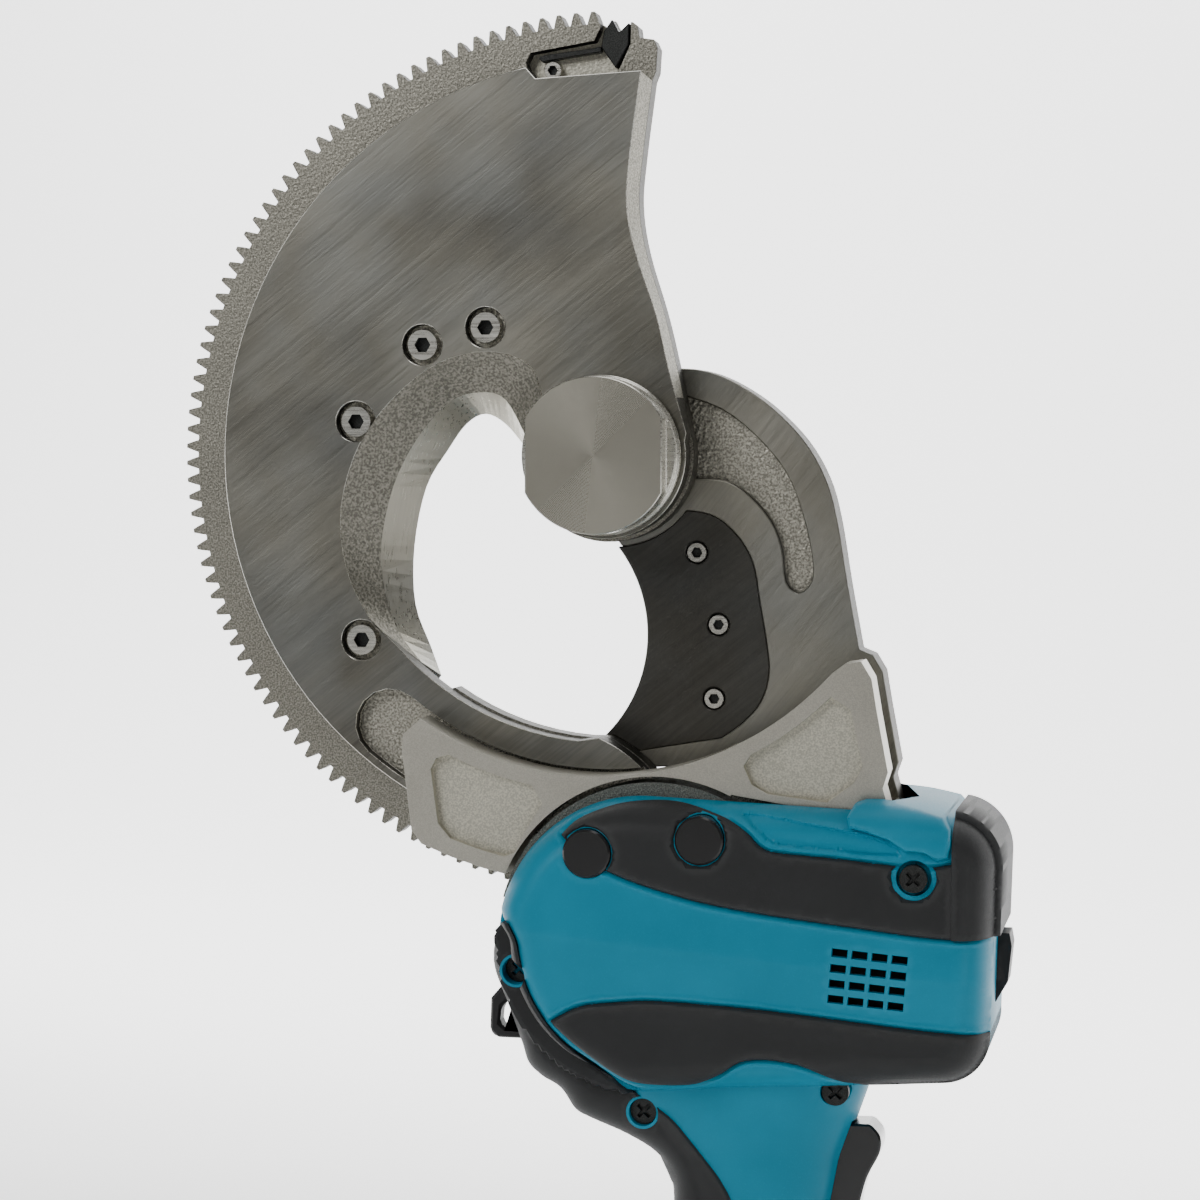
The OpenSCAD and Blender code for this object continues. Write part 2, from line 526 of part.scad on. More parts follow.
module lower_cushion() color([0.25, 0.26, 0.26]) at_pivot() difference() {
    skin(0.2, 1.2) difference() {
        polygon(concat(curve(lower_edge, 4), [[100, -150]], curve(lower_low, 4)));
        translate([96, -180]) square([60, 100]);
    }
    grip_top();
}
module end_cap() color([0.3, 0.31, 0.31]) at_pivot() difference() {
    intersection() {
        barrel(2);
        translate([96.2, -40, -126]) cube([20, 80, 50]);
    }
    barrel(0.02);
    translate([95, -6.8, -150]) cube([20, 13.6, 30]);
}
module palm_cushion() color([0.25, 0.26, 0.26]) at_pivot() difference() {
    union() {
        slab(-17, 17) polygon(concat(
            curve([[-27, -127], [-29.4, -133], [-28.4, -141], [-24.4, -154], [-20.5, -165],
                [-13, -170.4], [-8.5, -178], [-1, -182.4], [13.5, -185.6], [17.6, -190.5],
                [19, -200], [22.5, -235]], 4),
            curve([[25.5, -235], [22, -198], [19, -184], [8, -176], [-2, -170], [-12, -160],
                [-20, -147], [-24.5, -137], [-25.6, -129]], 4)));
    }
    barrel(0.02);
    grip_top();
    grip_bar(0.02);
    for (i = [0, 1]) peg(housing_screws[i], 4.3, -60, 60);
    translate([-60, -3.4, -160.4]) cube([40, 6.8, 20]);
}
module top_cover() color([0, 0.53, 0.65]) at_pivot() difference() {
    intersection() {
        barrel(3.4);
        translate([75, -33, -103.4]) rotate([0, barrel_tilt, 0]) cube([19.9, 66, 40]);
    }
    barrel(0.02);
    slab(-head_half - 0.6, head_half + 0.6) circle(r = sector_tip + 1.5);
    slab(-head_half - 0.6, head_half + 0.6) offset_foot();
}
module housing_screws() color([0.08, 0.08, 0.08]) at_pivot()
    for (p = housing_screws) cross_screw(p, 3.6, 2, p[2], 2.6, 12 - p[2]);
module cover_plugs() color([0.05, 0.05, 0.05]) at_pivot()
    for (p = plug_places, s = [-1, 1]) peg(p, 6.4, s > 0 ? 31 : -35.6, s > 0 ? 35.6 : -31);
module lanyard_loop() color([0.15, 0.15, 0.15]) at_pivot() slab(-3, 3) difference() {
    polygon([[-21, -140.8], [-26, -141.5], [-32.5, -149], [-32.8, -158], [-31, -159.9], [-21, -160]]);
    polygon([[-24.5, -148.5], [-26.5, -148.5], [-29.6, -151.5], [-30, -155.8], [-28.4, -157.2],
        [-23.5, -157.4]]);
    translate([-23, -175]) square([20, 40]);
    translate(drive) circle(r = round_r + 0.06);
}
module reverse_lever() color([0.08, 0.08, 0.08]) at_pivot() {
    peg([103.4, -135.4], 3.2, -6, 6);
    slab(-5.8, 5.8) polygon([[101.6, -138], [103.6, -126.6], [109.4, -126.6], [110, -130],
        [109, -139.6], [105.8, -145], [102.6, -145]]);
}

// ---------- trigger and switch ----------
module trigger() color([0.06, 0.06, 0.06]) at_pivot() slab(-5.9, 5.9) polygon(concat([[56.6, -179.4]],
    curve([[61, -239.2], [71.6, -238.2], [74, -234], [70.4, -222], [68.8, -208], [71.2, -195],
        [75, -187], [75.2, -182.4], [72.6, -179.2]], 5)));
module switch_plunger() color([0.1, 0.1, 0.1]) at_pivot() translate([46, -3, -212]) cube([12.2, 6, 8]);
module switch_body() color([0.13, 0.13, 0.14]) at_pivot() difference() {
    translate([30, -10, -228]) cube([19.4, 20, 36]);
    translate([39, -3.3, -212.3]) cube([20, 6.6, 8.6]);
}
module control_board() color([0.1, 0.35, 0.2]) at_pivot() {
    translate([32, -8, -268]) cube([1.6, 16, 36]);
    translate([33.6, -6, -262]) cube([5, 12, 10]);
    translate([33.6, -6, -246]) cube([3, 12, 8]);
}
module terminal_block() color([0.1, 0.1, 0.1]) at_pivot() {
    translate([34, -18, battery_top + rail_h + 1.3]) cube([10, 36, 3]);
    for (s = [-1, 1]) translate([35, s * 9 - 0.5, battery_top + 2]) cube([8, 1, rail_h]);
}

// ---------- battery ----------
module battery_block(h, z, grow) translate([battery_x, 0, z]) linear_extrude(h)
    polygon(round_rect(battery_l + grow, battery_w + grow, 9));
module battery_lower_case() color([0.1, 0.1, 0.1]) at_pivot() difference() {
    battery_block(36, -pivot_height, 0);
    battery_block(40, -pivot_height + 2.5, -5);
    for (sx = [-1, 1], sy = [-1, 1]) translate([battery_x + sx * battery_screw_x, sy * 27, -pivot_height - 1])
        cylinder(h = 10, r = 1.8);
}
module battery_upper_case() color([0.12, 0.12, 0.12]) at_pivot() difference() {
    union() {
        battery_block(battery_h - 36.1, -pivot_height + 36.1, 0);
        translate([battery_x - 38, -rail_w / 2, battery_top - 0.1]) cube([96, rail_w, rail_h]);
    }
    translate([battery_x, 0, -pivot_height + 30]) linear_extrude(battery_h - 30 - 2.5)
        polygon(round_rect(battery_l - 5, battery_w - 5, 8));
    for (s = [-1, 1]) {
        translate([24, s * 9 - 1.5, battery_top - 10]) cube([26, 3, rail_h + 20]);
        translate([-12, s * 9 - 1.5, battery_top + 1.5]) cube([40, 3, rail_h + 5]);
    }
    for (s = [-1, 1]) translate([-40 + battery_x, s * (rail_w / 2), battery_top + 2.2])
        rotate([0, 90, 0]) cylinder(h = 120, r = 2.2);
    translate([battery_x + 50, -13.4, battery_top - 18]) cube([20, 26.8, 19]);
}
module battery_cells() color([0.15, 0.45, 0.3]) at_pivot()
    for (i = [0:4], j = [0:1]) translate([battery_x - 42 + i * 21, 34, -pivot_height + 13.2 + j * 20.4])
        rotate([90, 0, 0]) cylinder(h = 68, r = 9.2);
module battery_contacts() color([0.8, 0.6, 0.25]) at_pivot() for (s = [-1, 1], t = [-1, 1])
    translate([26, s * 9 + t - 0.25, battery_top - 4]) cube([18, 0.5, 8]);
module battery_latch() color([0.55, 0.1, 0.08]) at_pivot() {
    translate([battery_x + 51.5, -13, battery_top - 13.6]) cube([7, 26, 13.4]);
}
module battery_screws() color([0.3, 0.3, 0.3]) at_pivot()
    for (sx = [-1, 1], sy = [-1, 1]) translate([battery_x + sx * battery_screw_x, sy * 27, -pivot_height + 0.4])
        cylinder(h = 9, r = 1.75);

moving_blade();
blade_rim();
moving_cutter();
cutter_screws();
tooth_block();
tooth_spring();
spring_screw();
pivot_bolt();
pivot_bush();
pivot_nut();
thrust_washers();
jaw_frame();
fixed_cutter();
fixed_cutter_screws();
guide_bracket();
foot_spacer();
foot_bolts();
gear_case_front();
gear_case_middle();
gear_case_rear();
case_bolts();
drive_pinion();
cross_shaft();
shaft_bearings();
bevel_gear();
bevel_pinion();
bevel_bearing();
ring_gear();
planet_carrier();
planet_1();
planet_2();
planet_3();
sun_gear();
motor_shaft();
rotor_core();
motor_fan();
stator();
motor_bearings();
housing_front();
housing_rear();
upper_cushion();
lower_cushion();
palm_cushion();
end_cap();
top_cover();
housing_screws();
cover_plugs();
lanyard_loop();
reverse_lever();
trigger();
switch_body();
switch_plunger();
control_board();
terminal_block();
battery_upper_case();
battery_lower_case();
battery_cells();
battery_latch();
battery_contacts();
battery_screws();
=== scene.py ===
"""Looks of a battery cable cutter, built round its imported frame.

Lengths inside the shape functions are in millimetres, in the head's own frame: x to the
right and z up from the blade's pivot, y towards the back. to_row() turns them into metres.
"""

import json
import math

import bmesh
import bpy
import numpy as np
from bpy.props import FloatProperty, FloatVectorProperty, PointerProperty
from mathutils import Matrix, Vector
from mathutils.geometry import delaunay_2d_cdt


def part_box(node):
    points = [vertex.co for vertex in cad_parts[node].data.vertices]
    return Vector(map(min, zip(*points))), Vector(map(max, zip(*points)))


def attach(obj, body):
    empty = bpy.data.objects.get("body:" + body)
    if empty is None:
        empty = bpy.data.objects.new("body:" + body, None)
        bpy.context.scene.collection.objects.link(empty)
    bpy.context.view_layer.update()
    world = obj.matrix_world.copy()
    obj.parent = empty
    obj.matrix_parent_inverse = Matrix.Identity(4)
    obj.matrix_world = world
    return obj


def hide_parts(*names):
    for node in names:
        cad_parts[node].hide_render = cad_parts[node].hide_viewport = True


bl_info = {
    "name": "Cable cutter looks",
    "version": (1, 0, 0),
    "blender": (4, 5, 0),
    "location": "3D View > Sidebar > Cutter",
    "description": "Builds the finished surfaces of a battery cable cutter",
    "category": "Object",
}

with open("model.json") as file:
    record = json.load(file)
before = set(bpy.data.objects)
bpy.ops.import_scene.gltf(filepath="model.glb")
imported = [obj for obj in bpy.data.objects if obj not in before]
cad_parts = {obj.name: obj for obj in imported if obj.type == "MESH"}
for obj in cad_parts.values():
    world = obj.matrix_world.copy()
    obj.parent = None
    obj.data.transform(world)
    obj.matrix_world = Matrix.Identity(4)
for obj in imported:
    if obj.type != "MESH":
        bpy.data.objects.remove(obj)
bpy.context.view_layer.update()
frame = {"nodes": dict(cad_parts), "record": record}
MM = 0.001
NODES = frame["nodes"]
SLOT_OF = {row["node"]: row["material_slot"] for row in frame["record"]["subparts"]}
BODY_OF = {name: body for body, names in frame["record"]["behaviour"]["bodies"].items() for name in names}


def middle(node):
    low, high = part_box(node)
    return (low + high) / 2


PIVOT = Vector((middle("pivot_bolt").x, 0, middle("pivot_bolt").z))
BOLT_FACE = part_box("pivot_bolt")[0].y / MM
BLADE_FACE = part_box("moving_blade")[0].y / MM
BATTERY_LOW, BATTERY_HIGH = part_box("battery_lower_case")
BATTERY_TALL = 60
BATTERY_TOP = (BATTERY_LOW.z - PIVOT.z) / MM + BATTERY_TALL
BATTERY_X = (middle("battery_lower_case").x - PIVOT.x) / MM
BATTERY_W = (BATTERY_HIGH.y - BATTERY_LOW.y) / MM


# ---------------------------------------------------------------- settings
class HeadSettings(bpy.types.PropertyGroup):
    edge: FloatProperty(name="Edge break", description="Width of the small bevel on cut edges",
                        default=0.00032, unit="LENGTH")
    cast_edge: FloatProperty(name="Cast edge", description="Bevel on the cast bracket's edges",
                             default=0.0009, unit="LENGTH")
    steel: FloatVectorProperty(name="Steel", description="Colour of the plated steel", size=3,
                               default=(0.5, 0.48, 0.41), subtype="COLOR")
    insert: FloatVectorProperty(name="Insert", description="Colour of the fixed cutter", size=3,
                                default=(0.13, 0.125, 0.11), subtype="COLOR")


class BodySettings(bpy.types.PropertyGroup):
    pitch: FloatProperty(name="Mesh pitch", description="Point spacing on the moulded surfaces",
                         default=0.0011, unit="LENGTH")
    raised: FloatProperty(name="Cushion height", description="How far the rubber stands proud",
                          default=0.0012, unit="LENGTH")
    shell: FloatVectorProperty(name="Shell", description="Colour of the moulded shell", size=3,
                               default=(0.0, 0.235, 0.365), subtype="COLOR")
    rubber: FloatVectorProperty(name="Rubber", description="Colour of the soft cushions", size=3,
                                default=(0.027, 0.028, 0.029), subtype="COLOR")


class StageSettings(bpy.types.PropertyGroup):
    yaw: FloatProperty(name="Yaw", description="Camera's turn about the vertical",
                       default=math.radians(11.17), subtype="ANGLE")
    pitch: FloatProperty(name="Pitch", description="Camera's downward tilt",
                         default=math.radians(2.57), subtype="ANGLE")
    reach: FloatProperty(name="Distance", description="Camera distance from the pivot",
                         default=0.85714, unit="LENGTH")
    lens: FloatProperty(name="Lens", description="Focal length in millimetres",
                        default=94.6, unit="CAMERA")


GROUPS = {"cutter_head": HeadSettings, "cutter_body": BodySettings, "cutter_stage": StageSettings}


def head():
    return bpy.context.scene.cutter_head


def body():
    return bpy.context.scene.cutter_body


# ---------------------------------------------------------------- shader maths
def operator_for(operation, reflected=False):
    """A method that joins two values with a Math node."""
    def apply(self, other):
        pair = (other, self) if reflected else (self, other)
        return self.paint.math(operation, *pair)
    return apply


class Number:
    """A value socket that adds Math nodes when it is used in an expression."""

    def __init__(self, paint, socket):
        self.paint = paint
        self.socket = socket

    __add__ = operator_for("ADD")
    __radd__ = operator_for("ADD", True)
    __sub__ = operator_for("SUBTRACT")
    __rsub__ = operator_for("SUBTRACT", True)
    __mul__ = operator_for("MULTIPLY")
    __rmul__ = operator_for("MULTIPLY", True)


class Paint:
    """One material: a Principled shader and the nodes that drive it."""

    def __init__(self, name, **fixed):
        self.material = bpy.data.materials.new(name)
        self.material.use_nodes = True
        self.tree = self.material.node_tree
        self.tree.nodes.clear()
        self.shader = self.add("ShaderNodeBsdfPrincipled")
        output = self.add("ShaderNodeOutputMaterial")
        self.tree.links.new(self.shader.outputs["BSDF"], output.inputs["Surface"])
        for key, value in fixed.items():
            self.set(key.replace("_", " "), value)
        self.place = self.add("ShaderNodeTexCoord").outputs["Object"]

    def add(self, kind, settings=None, inputs=None):
        node = self.tree.nodes.new(kind)
        for key, value in (settings or {}).items():
            setattr(node, key, value)
        for key, value in (inputs or {}).items():
            self.feed(node.inputs[key], value)
        return node

    def feed(self, socket, value):
        value = getattr(value, "socket", value)
        if isinstance(value, bpy.types.NodeSocket):
            self.tree.links.new(value, socket)
        elif hasattr(value, "__len__") and socket.type == "RGBA":
            socket.default_value = (*tuple(value)[:3], 1)
        else:
            socket.default_value = value

    def set(self, name, value):
        self.feed(self.shader.inputs[name], value)

    def math(self, operation, a, b=0.0, clamp=False):
        node = self.add("ShaderNodeMath", {"operation": operation, "use_clamp": clamp}, {0: a, 1: b})
        return Number(self, node.outputs[0])

    def parts(self):
        """The object coordinates as three numbers, in metres."""
        node = self.add("ShaderNodeSeparateXYZ", None, {0: self.place})
        return [Number(self, node.outputs[i]) for i in range(3)]

    def noise(self, size, detail=3.0, roughness=0.55, stretch=(1, 1, 1), turn=(0, 0, 0)):
        """Noise whose features are about size metres across."""
        rotated = self.add("ShaderNodeMapping", None, {"Vector": self.place, "Rotation": turn})
        scaled = self.add("ShaderNodeMapping", None, {"Vector": rotated.outputs[0], "Scale": stretch})
        node = self.add("ShaderNodeTexNoise", None, {"Vector": scaled.outputs[0], "Scale": 1 / size,
                                                     "Detail": detail, "Roughness": roughness})
        return Number(self, node.outputs["Fac"])

    def grit(self, size):
        node = self.add("ShaderNodeTexVoronoi", None, {"Vector": self.place, "Scale": 1 / size})
        return Number(self, node.outputs["Distance"])

    def remap(self, value, low, high, to_low=0.0, to_high=1.0):
        node = self.add("ShaderNodeMapRange", {"clamp": True},
                        {0: value, 1: low, 2: high, 3: to_low, 4: to_high})
        return Number(self, node.outputs[0])

    def mix(self, amount, a, b):
        node = self.add("ShaderNodeMix", {"data_type": "RGBA"})
        self.feed(node.inputs[0], amount)
        self.feed(node.inputs[6], a)
        self.feed(node.inputs[7], b)
        return node.outputs[2]

    def bump(self, height, depth, strength=1.0):
        node = self.add("ShaderNodeBump", None, {"Height": height, "Distance": depth, "Strength": strength})
        self.set("Normal", node.outputs[0])

    def edges(self):
        """1 near a convex edge, 0 on the flat."""
        node = self.add("ShaderNodeNewGeometry")
        return self.remap(Number(self, node.outputs["Pointiness"]), 0.5, 0.53)


def shade(colour, factor):
    return [min(1.0, c * factor) for c in colour]


def steel_paint(name, colour, rough, grain=0.0, turn=(0, 0, 0), cloud=0.25, depth=0.00002, low=0.55):
    """Ground or brushed steel: fine streaks along one direction, with soft cloudy patches."""
    paint = Paint(name, Metallic=1.0)
    clouds = paint.noise(0.06, 2.0, 0.5, (1, 1, 1.3))
    streaks = paint.noise(0.0006, 3.0, 0.6, (0.035, 1, 1), turn)
    coarse = paint.noise(0.0022, 2.0, 0.6, (0.02, 1, 1), turn)
    tone = paint.remap(clouds, 0.3, 0.7, 0, 1) * cloud + streaks * grain + coarse * (grain * 0.7)
    base = paint.mix(tone, shade(colour, 1.2), shade(colour, low))
    cool = [colour[1] * 0.8, colour[1] * 0.86, colour[1] * 0.88]
    base = paint.mix(paint.remap(paint.noise(0.03, 2.0), 0.42, 0.68, 0, 0.3), base, cool)
    paint.set("Base Color", base)
    paint.set("Roughness", paint.remap(streaks, 0.3, 0.7, rough - 0.06, rough + 0.1))
    paint.bump(streaks + coarse * 0.5, depth)
    return paint.material


def grit_paint(name, colour, rough, size=0.0007, depth=0.00006, metal=1.0, contrast=0.75):
    """Blasted or cast metal: a fine even grain with small bright and dark specks."""
    paint = Paint(name, Metallic=metal)
    grains = paint.grit(size)
    fine = paint.noise(size * 0.7, 4.0, 0.7)
    specks = paint.noise(size * 0.55, 1.0, 0.5)
    patches = paint.noise(0.02, 3.0, 0.5)
    tone = paint.remap(specks, 0.36, 0.62, 0, contrast) + patches * 0.25
    paint.set("Base Color", paint.mix(tone, shade(colour, 1.2), shade(colour, 0.42)))
    paint.set("Roughness", paint.remap(fine, 0.3, 0.7, rough - 0.08, rough + 0.08))
    paint.bump(grains + fine, depth)
    return paint.material


def moulded_paint(name, colour, rough, size=0.0005, depth=0.00002, coat=0.0):
    """Spark-eroded plastic or rubber: stipple, slight tone drift and paler convex edges."""
    paint = Paint(name, Metallic=0.0, Coat_Weight=coat, Coat_Roughness=0.25, Specular_IOR_Level=0.22)
    stipple = paint.noise(size, 2.0, 0.6)
    drift = paint.noise(0.03, 3.0, 0.5)
    base = paint.mix(paint.remap(drift, 0.3, 0.7, 0, 1), shade(colour, 1.07), shade(colour, 0.9))
    base = paint.mix(paint.remap(stipple, 0.55, 0.75, 0, 0.25), base, shade(colour, 1.4))
    # Convex edges are mixed towards a paler tone.
    pale_edge_tone = shade([c * 0.9 + 0.02 for c in colour], 1.3)
    base = paint.mix(paint.edges() * 0.35, base, pale_edge_tone)
    paint.set("Base Color", base)
    paint.set("Roughness", paint.remap(stipple, 0.3, 0.7, rough - 0.05, rough + 0.07))
    paint.bump(stipple, depth)
    return paint.material


def turned_paint(name, colour, rough, centre, ring=0.00035):
    """A face turned on a lathe: fine rings about centre, and a painted sheen, a fan of brighter streaks by
    angle about it.
    """
    paint = Paint(name, Metallic=1.0)
    x, _, z = paint.parts()
    dx, dz = x - centre.x, z - centre.z
    radius = paint.math("SQRT", dx * dx + dz * dz)
    angle = paint.math("ARCTAN2", dz, dx)
    # Painted sheen: colour goes lighter and darker by angle about the centre, standing for the turned face's
    # highlight.
    painted_sheen = paint.math("COSINE", angle * 2.0 + 0.9)
    rings = paint.math("SINE", radius * (math.tau / ring))
    fine = paint.noise(0.0004, 3.0, 0.7)
    tone = paint.remap(painted_sheen, -1, 1, 0, 0.75) + fine * 0.12
    paint.set("Base Color", paint.mix(tone, shade(colour, 1.2), shade(colour, 0.62)))
    paint.set("Roughness", paint.remap(painted_sheen, -1, 1, rough, rough + 0.12))
    paint.bump(rings + fine, 0.000006)
    return paint.material


def winding_paint(name, colour):
    paint = Paint(name, Metallic=0.9, Roughness=0.35)
    turns = paint.noise(0.0008, 1.0, 0.4, (0.05, 1, 1))
    paint.set("Base Color", paint.mix(turns, shade(colour, 1.3), shade(colour, 0.5)))
    paint.bump(turns, 0.0002)
    return paint.material


MATERIALS = {}


def make_materials():
    steel, insert = list(head().steel), list(head().insert)
    shell, rubber = list(body().shell), list(body().rubber)
    slant = (0, math.radians(38), 0)
    make = {  # every finish, by the name it is called for
        "forged_steel": lambda: steel_paint("plated_steel", steel, 0.34, 0.25),
        "face_steel": lambda: steel_paint("brushed_face", shade(steel, 0.82), 0.36, 0.45, slant, 0.62,
                                          0.00003, 0.3),
        "jaw_steel": lambda: steel_paint("brushed_jaw", shade(steel, 0.86), 0.36, 0.42,
                                         (0, math.radians(52), 0), 0.4, 0.00003, 0.34),
        # A darker copy of the steel for side walls: painted shade on walls that stand across the light.
        "shaded_wall_steel": lambda: steel_paint("sheared_edge", shade(steel, 0.14), 0.45, 0.3, (0, 0, 0), 0.2),
        "blasted_steel": lambda: grit_paint("blasted_rim", shade(steel, 0.72), 0.46, 0.0009, 0.00007),
        "chamfer_steel": lambda: grit_paint("chamfer_grit", shade(steel, 0.6), 0.45, 0.0012, 0.0001),
        "gritty_floor": lambda: grit_paint("cast_recess", shade(steel, 0.95), 0.42, 0.0011, 0.00014),
        "blade_steel": lambda: steel_paint("ground_cutter", shade(steel, 1.05), 0.3, 0.25,
                                           (0, math.radians(80), 0), 0.2),
        "dark_steel": lambda: steel_paint("dark_insert", insert, 0.38, 0.55, slant, 0.3, 0.00003, 0.34),
        "cast_alloy": lambda: grit_paint("satin_cast", [0.54, 0.52, 0.455], 0.4, 0.0005, 0.00002, 1.0, 0.22),
        "pocket_alloy": lambda: grit_paint("blasted_pocket", [0.6, 0.58, 0.49], 0.5, 0.0009, 0.00006,
                                           1.0, 0.4),
        "case_alloy": lambda: grit_paint("case_cast", [0.2, 0.21, 0.19], 0.55, 0.0007, 0.00012),
        "screw_steel": lambda: steel_paint("bright_steel", [0.74, 0.72, 0.65], 0.26, 0.06, low=0.7),
        "black_steel": lambda: grit_paint("black_oxide", [0.05, 0.052, 0.05], 0.42, 0.0005, 0.00002, 0.8),
        "bronze": lambda: steel_paint("turned_bronze", [0.55, 0.36, 0.15], 0.3, 0.3),
        "bearing_steel": lambda: steel_paint("bearing", [0.7, 0.7, 0.7], 0.12, 0.1),
        "copper_wound": lambda: winding_paint("windings", [0.55, 0.25, 0.1]),
        "housing_plastic": lambda: moulded_paint("shell_plastic", shell, 0.4, 0.00045, 0.00001),
        "cushion_rubber": lambda: moulded_paint("soft_rubber", rubber, 0.52, 0.0005, 0.00003),
        "black_plastic": lambda: moulded_paint("black_plastic", [0.018, 0.018, 0.019], 0.42, 0.0006, 0.00003),
        "gloss_black": lambda: moulded_paint("gloss_black", [0.004, 0.004, 0.0045], 0.1, 0.003, 0.00001, 0.6),
        "red_plastic": lambda: moulded_paint("red_plastic", [0.35, 0.02, 0.02], 0.4),
        "board_green": lambda: moulded_paint("board", [0.02, 0.15, 0.06], 0.35),
        "cell_wrap": lambda: moulded_paint("cell_wrap", [0.05, 0.3, 0.15], 0.3),
        "turned_head": lambda: turned_paint("turned_head", shade(steel, 1.05), 0.26, PIVOT),
    }
    for name, build in make.items():
        MATERIALS[name] = build()


# ---------------------------------------------------------------- mesh helpers
def to_row(points):
    """Points in the head's frame in millimetres, as metres in the row frame."""
    return np.asarray(points, float) * MM + np.array(PIVOT)


def new_piece(name, points, faces, materials, carrier, slot, replaced=(), smooth=30):
    mesh = bpy.data.meshes.new(name)
    mesh.from_pydata([tuple(p) for p in to_row(points)], [], [list(map(int, f)) for f in faces])
    for material in materials:
        mesh.materials.append(MATERIALS[material])
    mesh.validate()
    return finish_piece(mesh, name, carrier, slot, replaced, smooth)


def finish_piece(mesh, name, carrier, slot, replaced=(), smooth=21):
    mesh.shade_smooth()
    mesh.set_sharp_from_angle(angle=math.radians(smooth))
    piece = bpy.data.objects.new(name, mesh)
    bpy.context.scene.collection.objects.link(piece)
    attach(piece, carrier)
    if replaced:
        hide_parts(*replaced)
    return piece


def merged_copy(node, join_flats=True):
    """A copy of a CAD node's mesh with its points joined and its flat faces whole."""
    work = bmesh.new()
    work.from_mesh(NODES[node].data)
    bmesh.ops.remove_doubles(work, verts=work.verts, dist=2e-6)
    if join_flats:
        bmesh.ops.dissolve_limit(work, angle_limit=math.radians(0.1), verts=work.verts, edges=work.edges)
    mesh = bpy.data.meshes.new(node + "_finish")
    work.to_mesh(mesh)
    work.free()
    return mesh


def apply_modifiers(mesh, build):
    """Puts modifiers on a throw-away object and returns the plain mesh they give."""
    holder = bpy.data.objects.new(mesh.name + "_work", mesh)
    bpy.context.scene.collection.objects.link(holder)
    build(holder)
    bpy.context.view_layer.update()
    graph = bpy.context.evaluated_depsgraph_get()
    result = bpy.data.meshes.new_from_object(holder.evaluated_get(graph))
    bpy.data.objects.remove(holder)
    return result


def broken_edges(mesh, width, angle=40):
    def build(holder):
        bevel = holder.modifiers.new("edge_break", "BEVEL")
        bevel.width = width
        bevel.segments = 1
        bevel.limit_method = "ANGLE"
        bevel.angle_limit = math.radians(angle)
        bevel.use_clamp_overlap = True
    return apply_modifiers(mesh, build)


def curve(points, steps):
    """Smooth curve through the points, with steps between neighbours."""
    p = np.asarray(points, float)
    made = []
    for i in range(len(p) - 1):
        a, b, c, d = p[max(i - 1, 0)], p[i], p[i + 1], p[min(i + 2, len(p) - 1)]
        for k in range(steps):
            t = k / steps
            made.append(0.5 * (2 * b + (c - a) * t + (2 * a - 5 * b + 4 * c - d) * t * t
                               + (3 * b - a - 3 * c + d) * t ** 3))
    return np.array(made + [p[-1]])


def arc(centre, radius, start, end, steps):
    t = np.radians(np.linspace(start, end, steps + 1))
    return np.asarray(centre)[None, :] + radius * np.stack([np.cos(t), np.sin(t)], 1)


def resample(loop, pitch):
    """Points along a closed loop, no further apart than pitch."""
    made = []
    for a, b in zip(loop, np.roll(loop, -1, 0)):
        count = max(1, int(math.ceil(np.linalg.norm(b - a) / pitch)))
        made += [a + (b - a) * k / count for k in range(count)]
    return np.array(made)


def inside(points, loop):
    """Which points lie in a closed loop."""
    x, y = points[:, 0][:, None], points[:, 1][:, None]
    a, b = loop, np.roll(loop, -1, 0)
    crossing = (a[:, 1] > y) != (b[:, 1] > y)
    slope = np.where(np.abs(b[:, 1] - a[:, 1]) < 1e-12, 1e-12, b[:, 1] - a[:, 1])
    at = a[:, 0] + (y - a[:, 1]) * (b[:, 0] - a[:, 0]) / slope
    return (crossing & (x < at)).sum(1) % 2 == 1


def distance(points, loop):
    """Distance from each point to the nearest side of a closed loop."""
    a, b = loop, np.roll(loop, -1, 0)
    ab = b - a
    best = np.full(len(points), 1e9)
    for p, d in zip(a, ab):
        t = np.clip(((points - p) @ d) / max(d @ d, 1e-12), 0, 1)
        best = np.minimum(best, np.linalg.norm(points - p - t[:, None] * d, axis=1))
    return best


def wrap_of(circles):
    """The outline that a belt takes round some circles, each (x, z, radius)."""
    points = sorted({(round(x + r * math.cos(t), 4), round(z + r * math.sin(t), 4))
                     for x, z, r in circles for t in np.linspace(0, math.tau, 121)})
    def half(ordered):
        chain = []
        for p in ordered:
            while len(chain) > 1 and ((chain[-1][0] - chain[-2][0]) * (p[1] - chain[-2][1])
                                      - (chain[-1][1] - chain[-2][1]) * (p[0] - chain[-2][0])) <= 0:
                chain.pop()
            chain.append(p)
        return chain[:-1]
    return np.array(half(points) + half(points[::-1]))


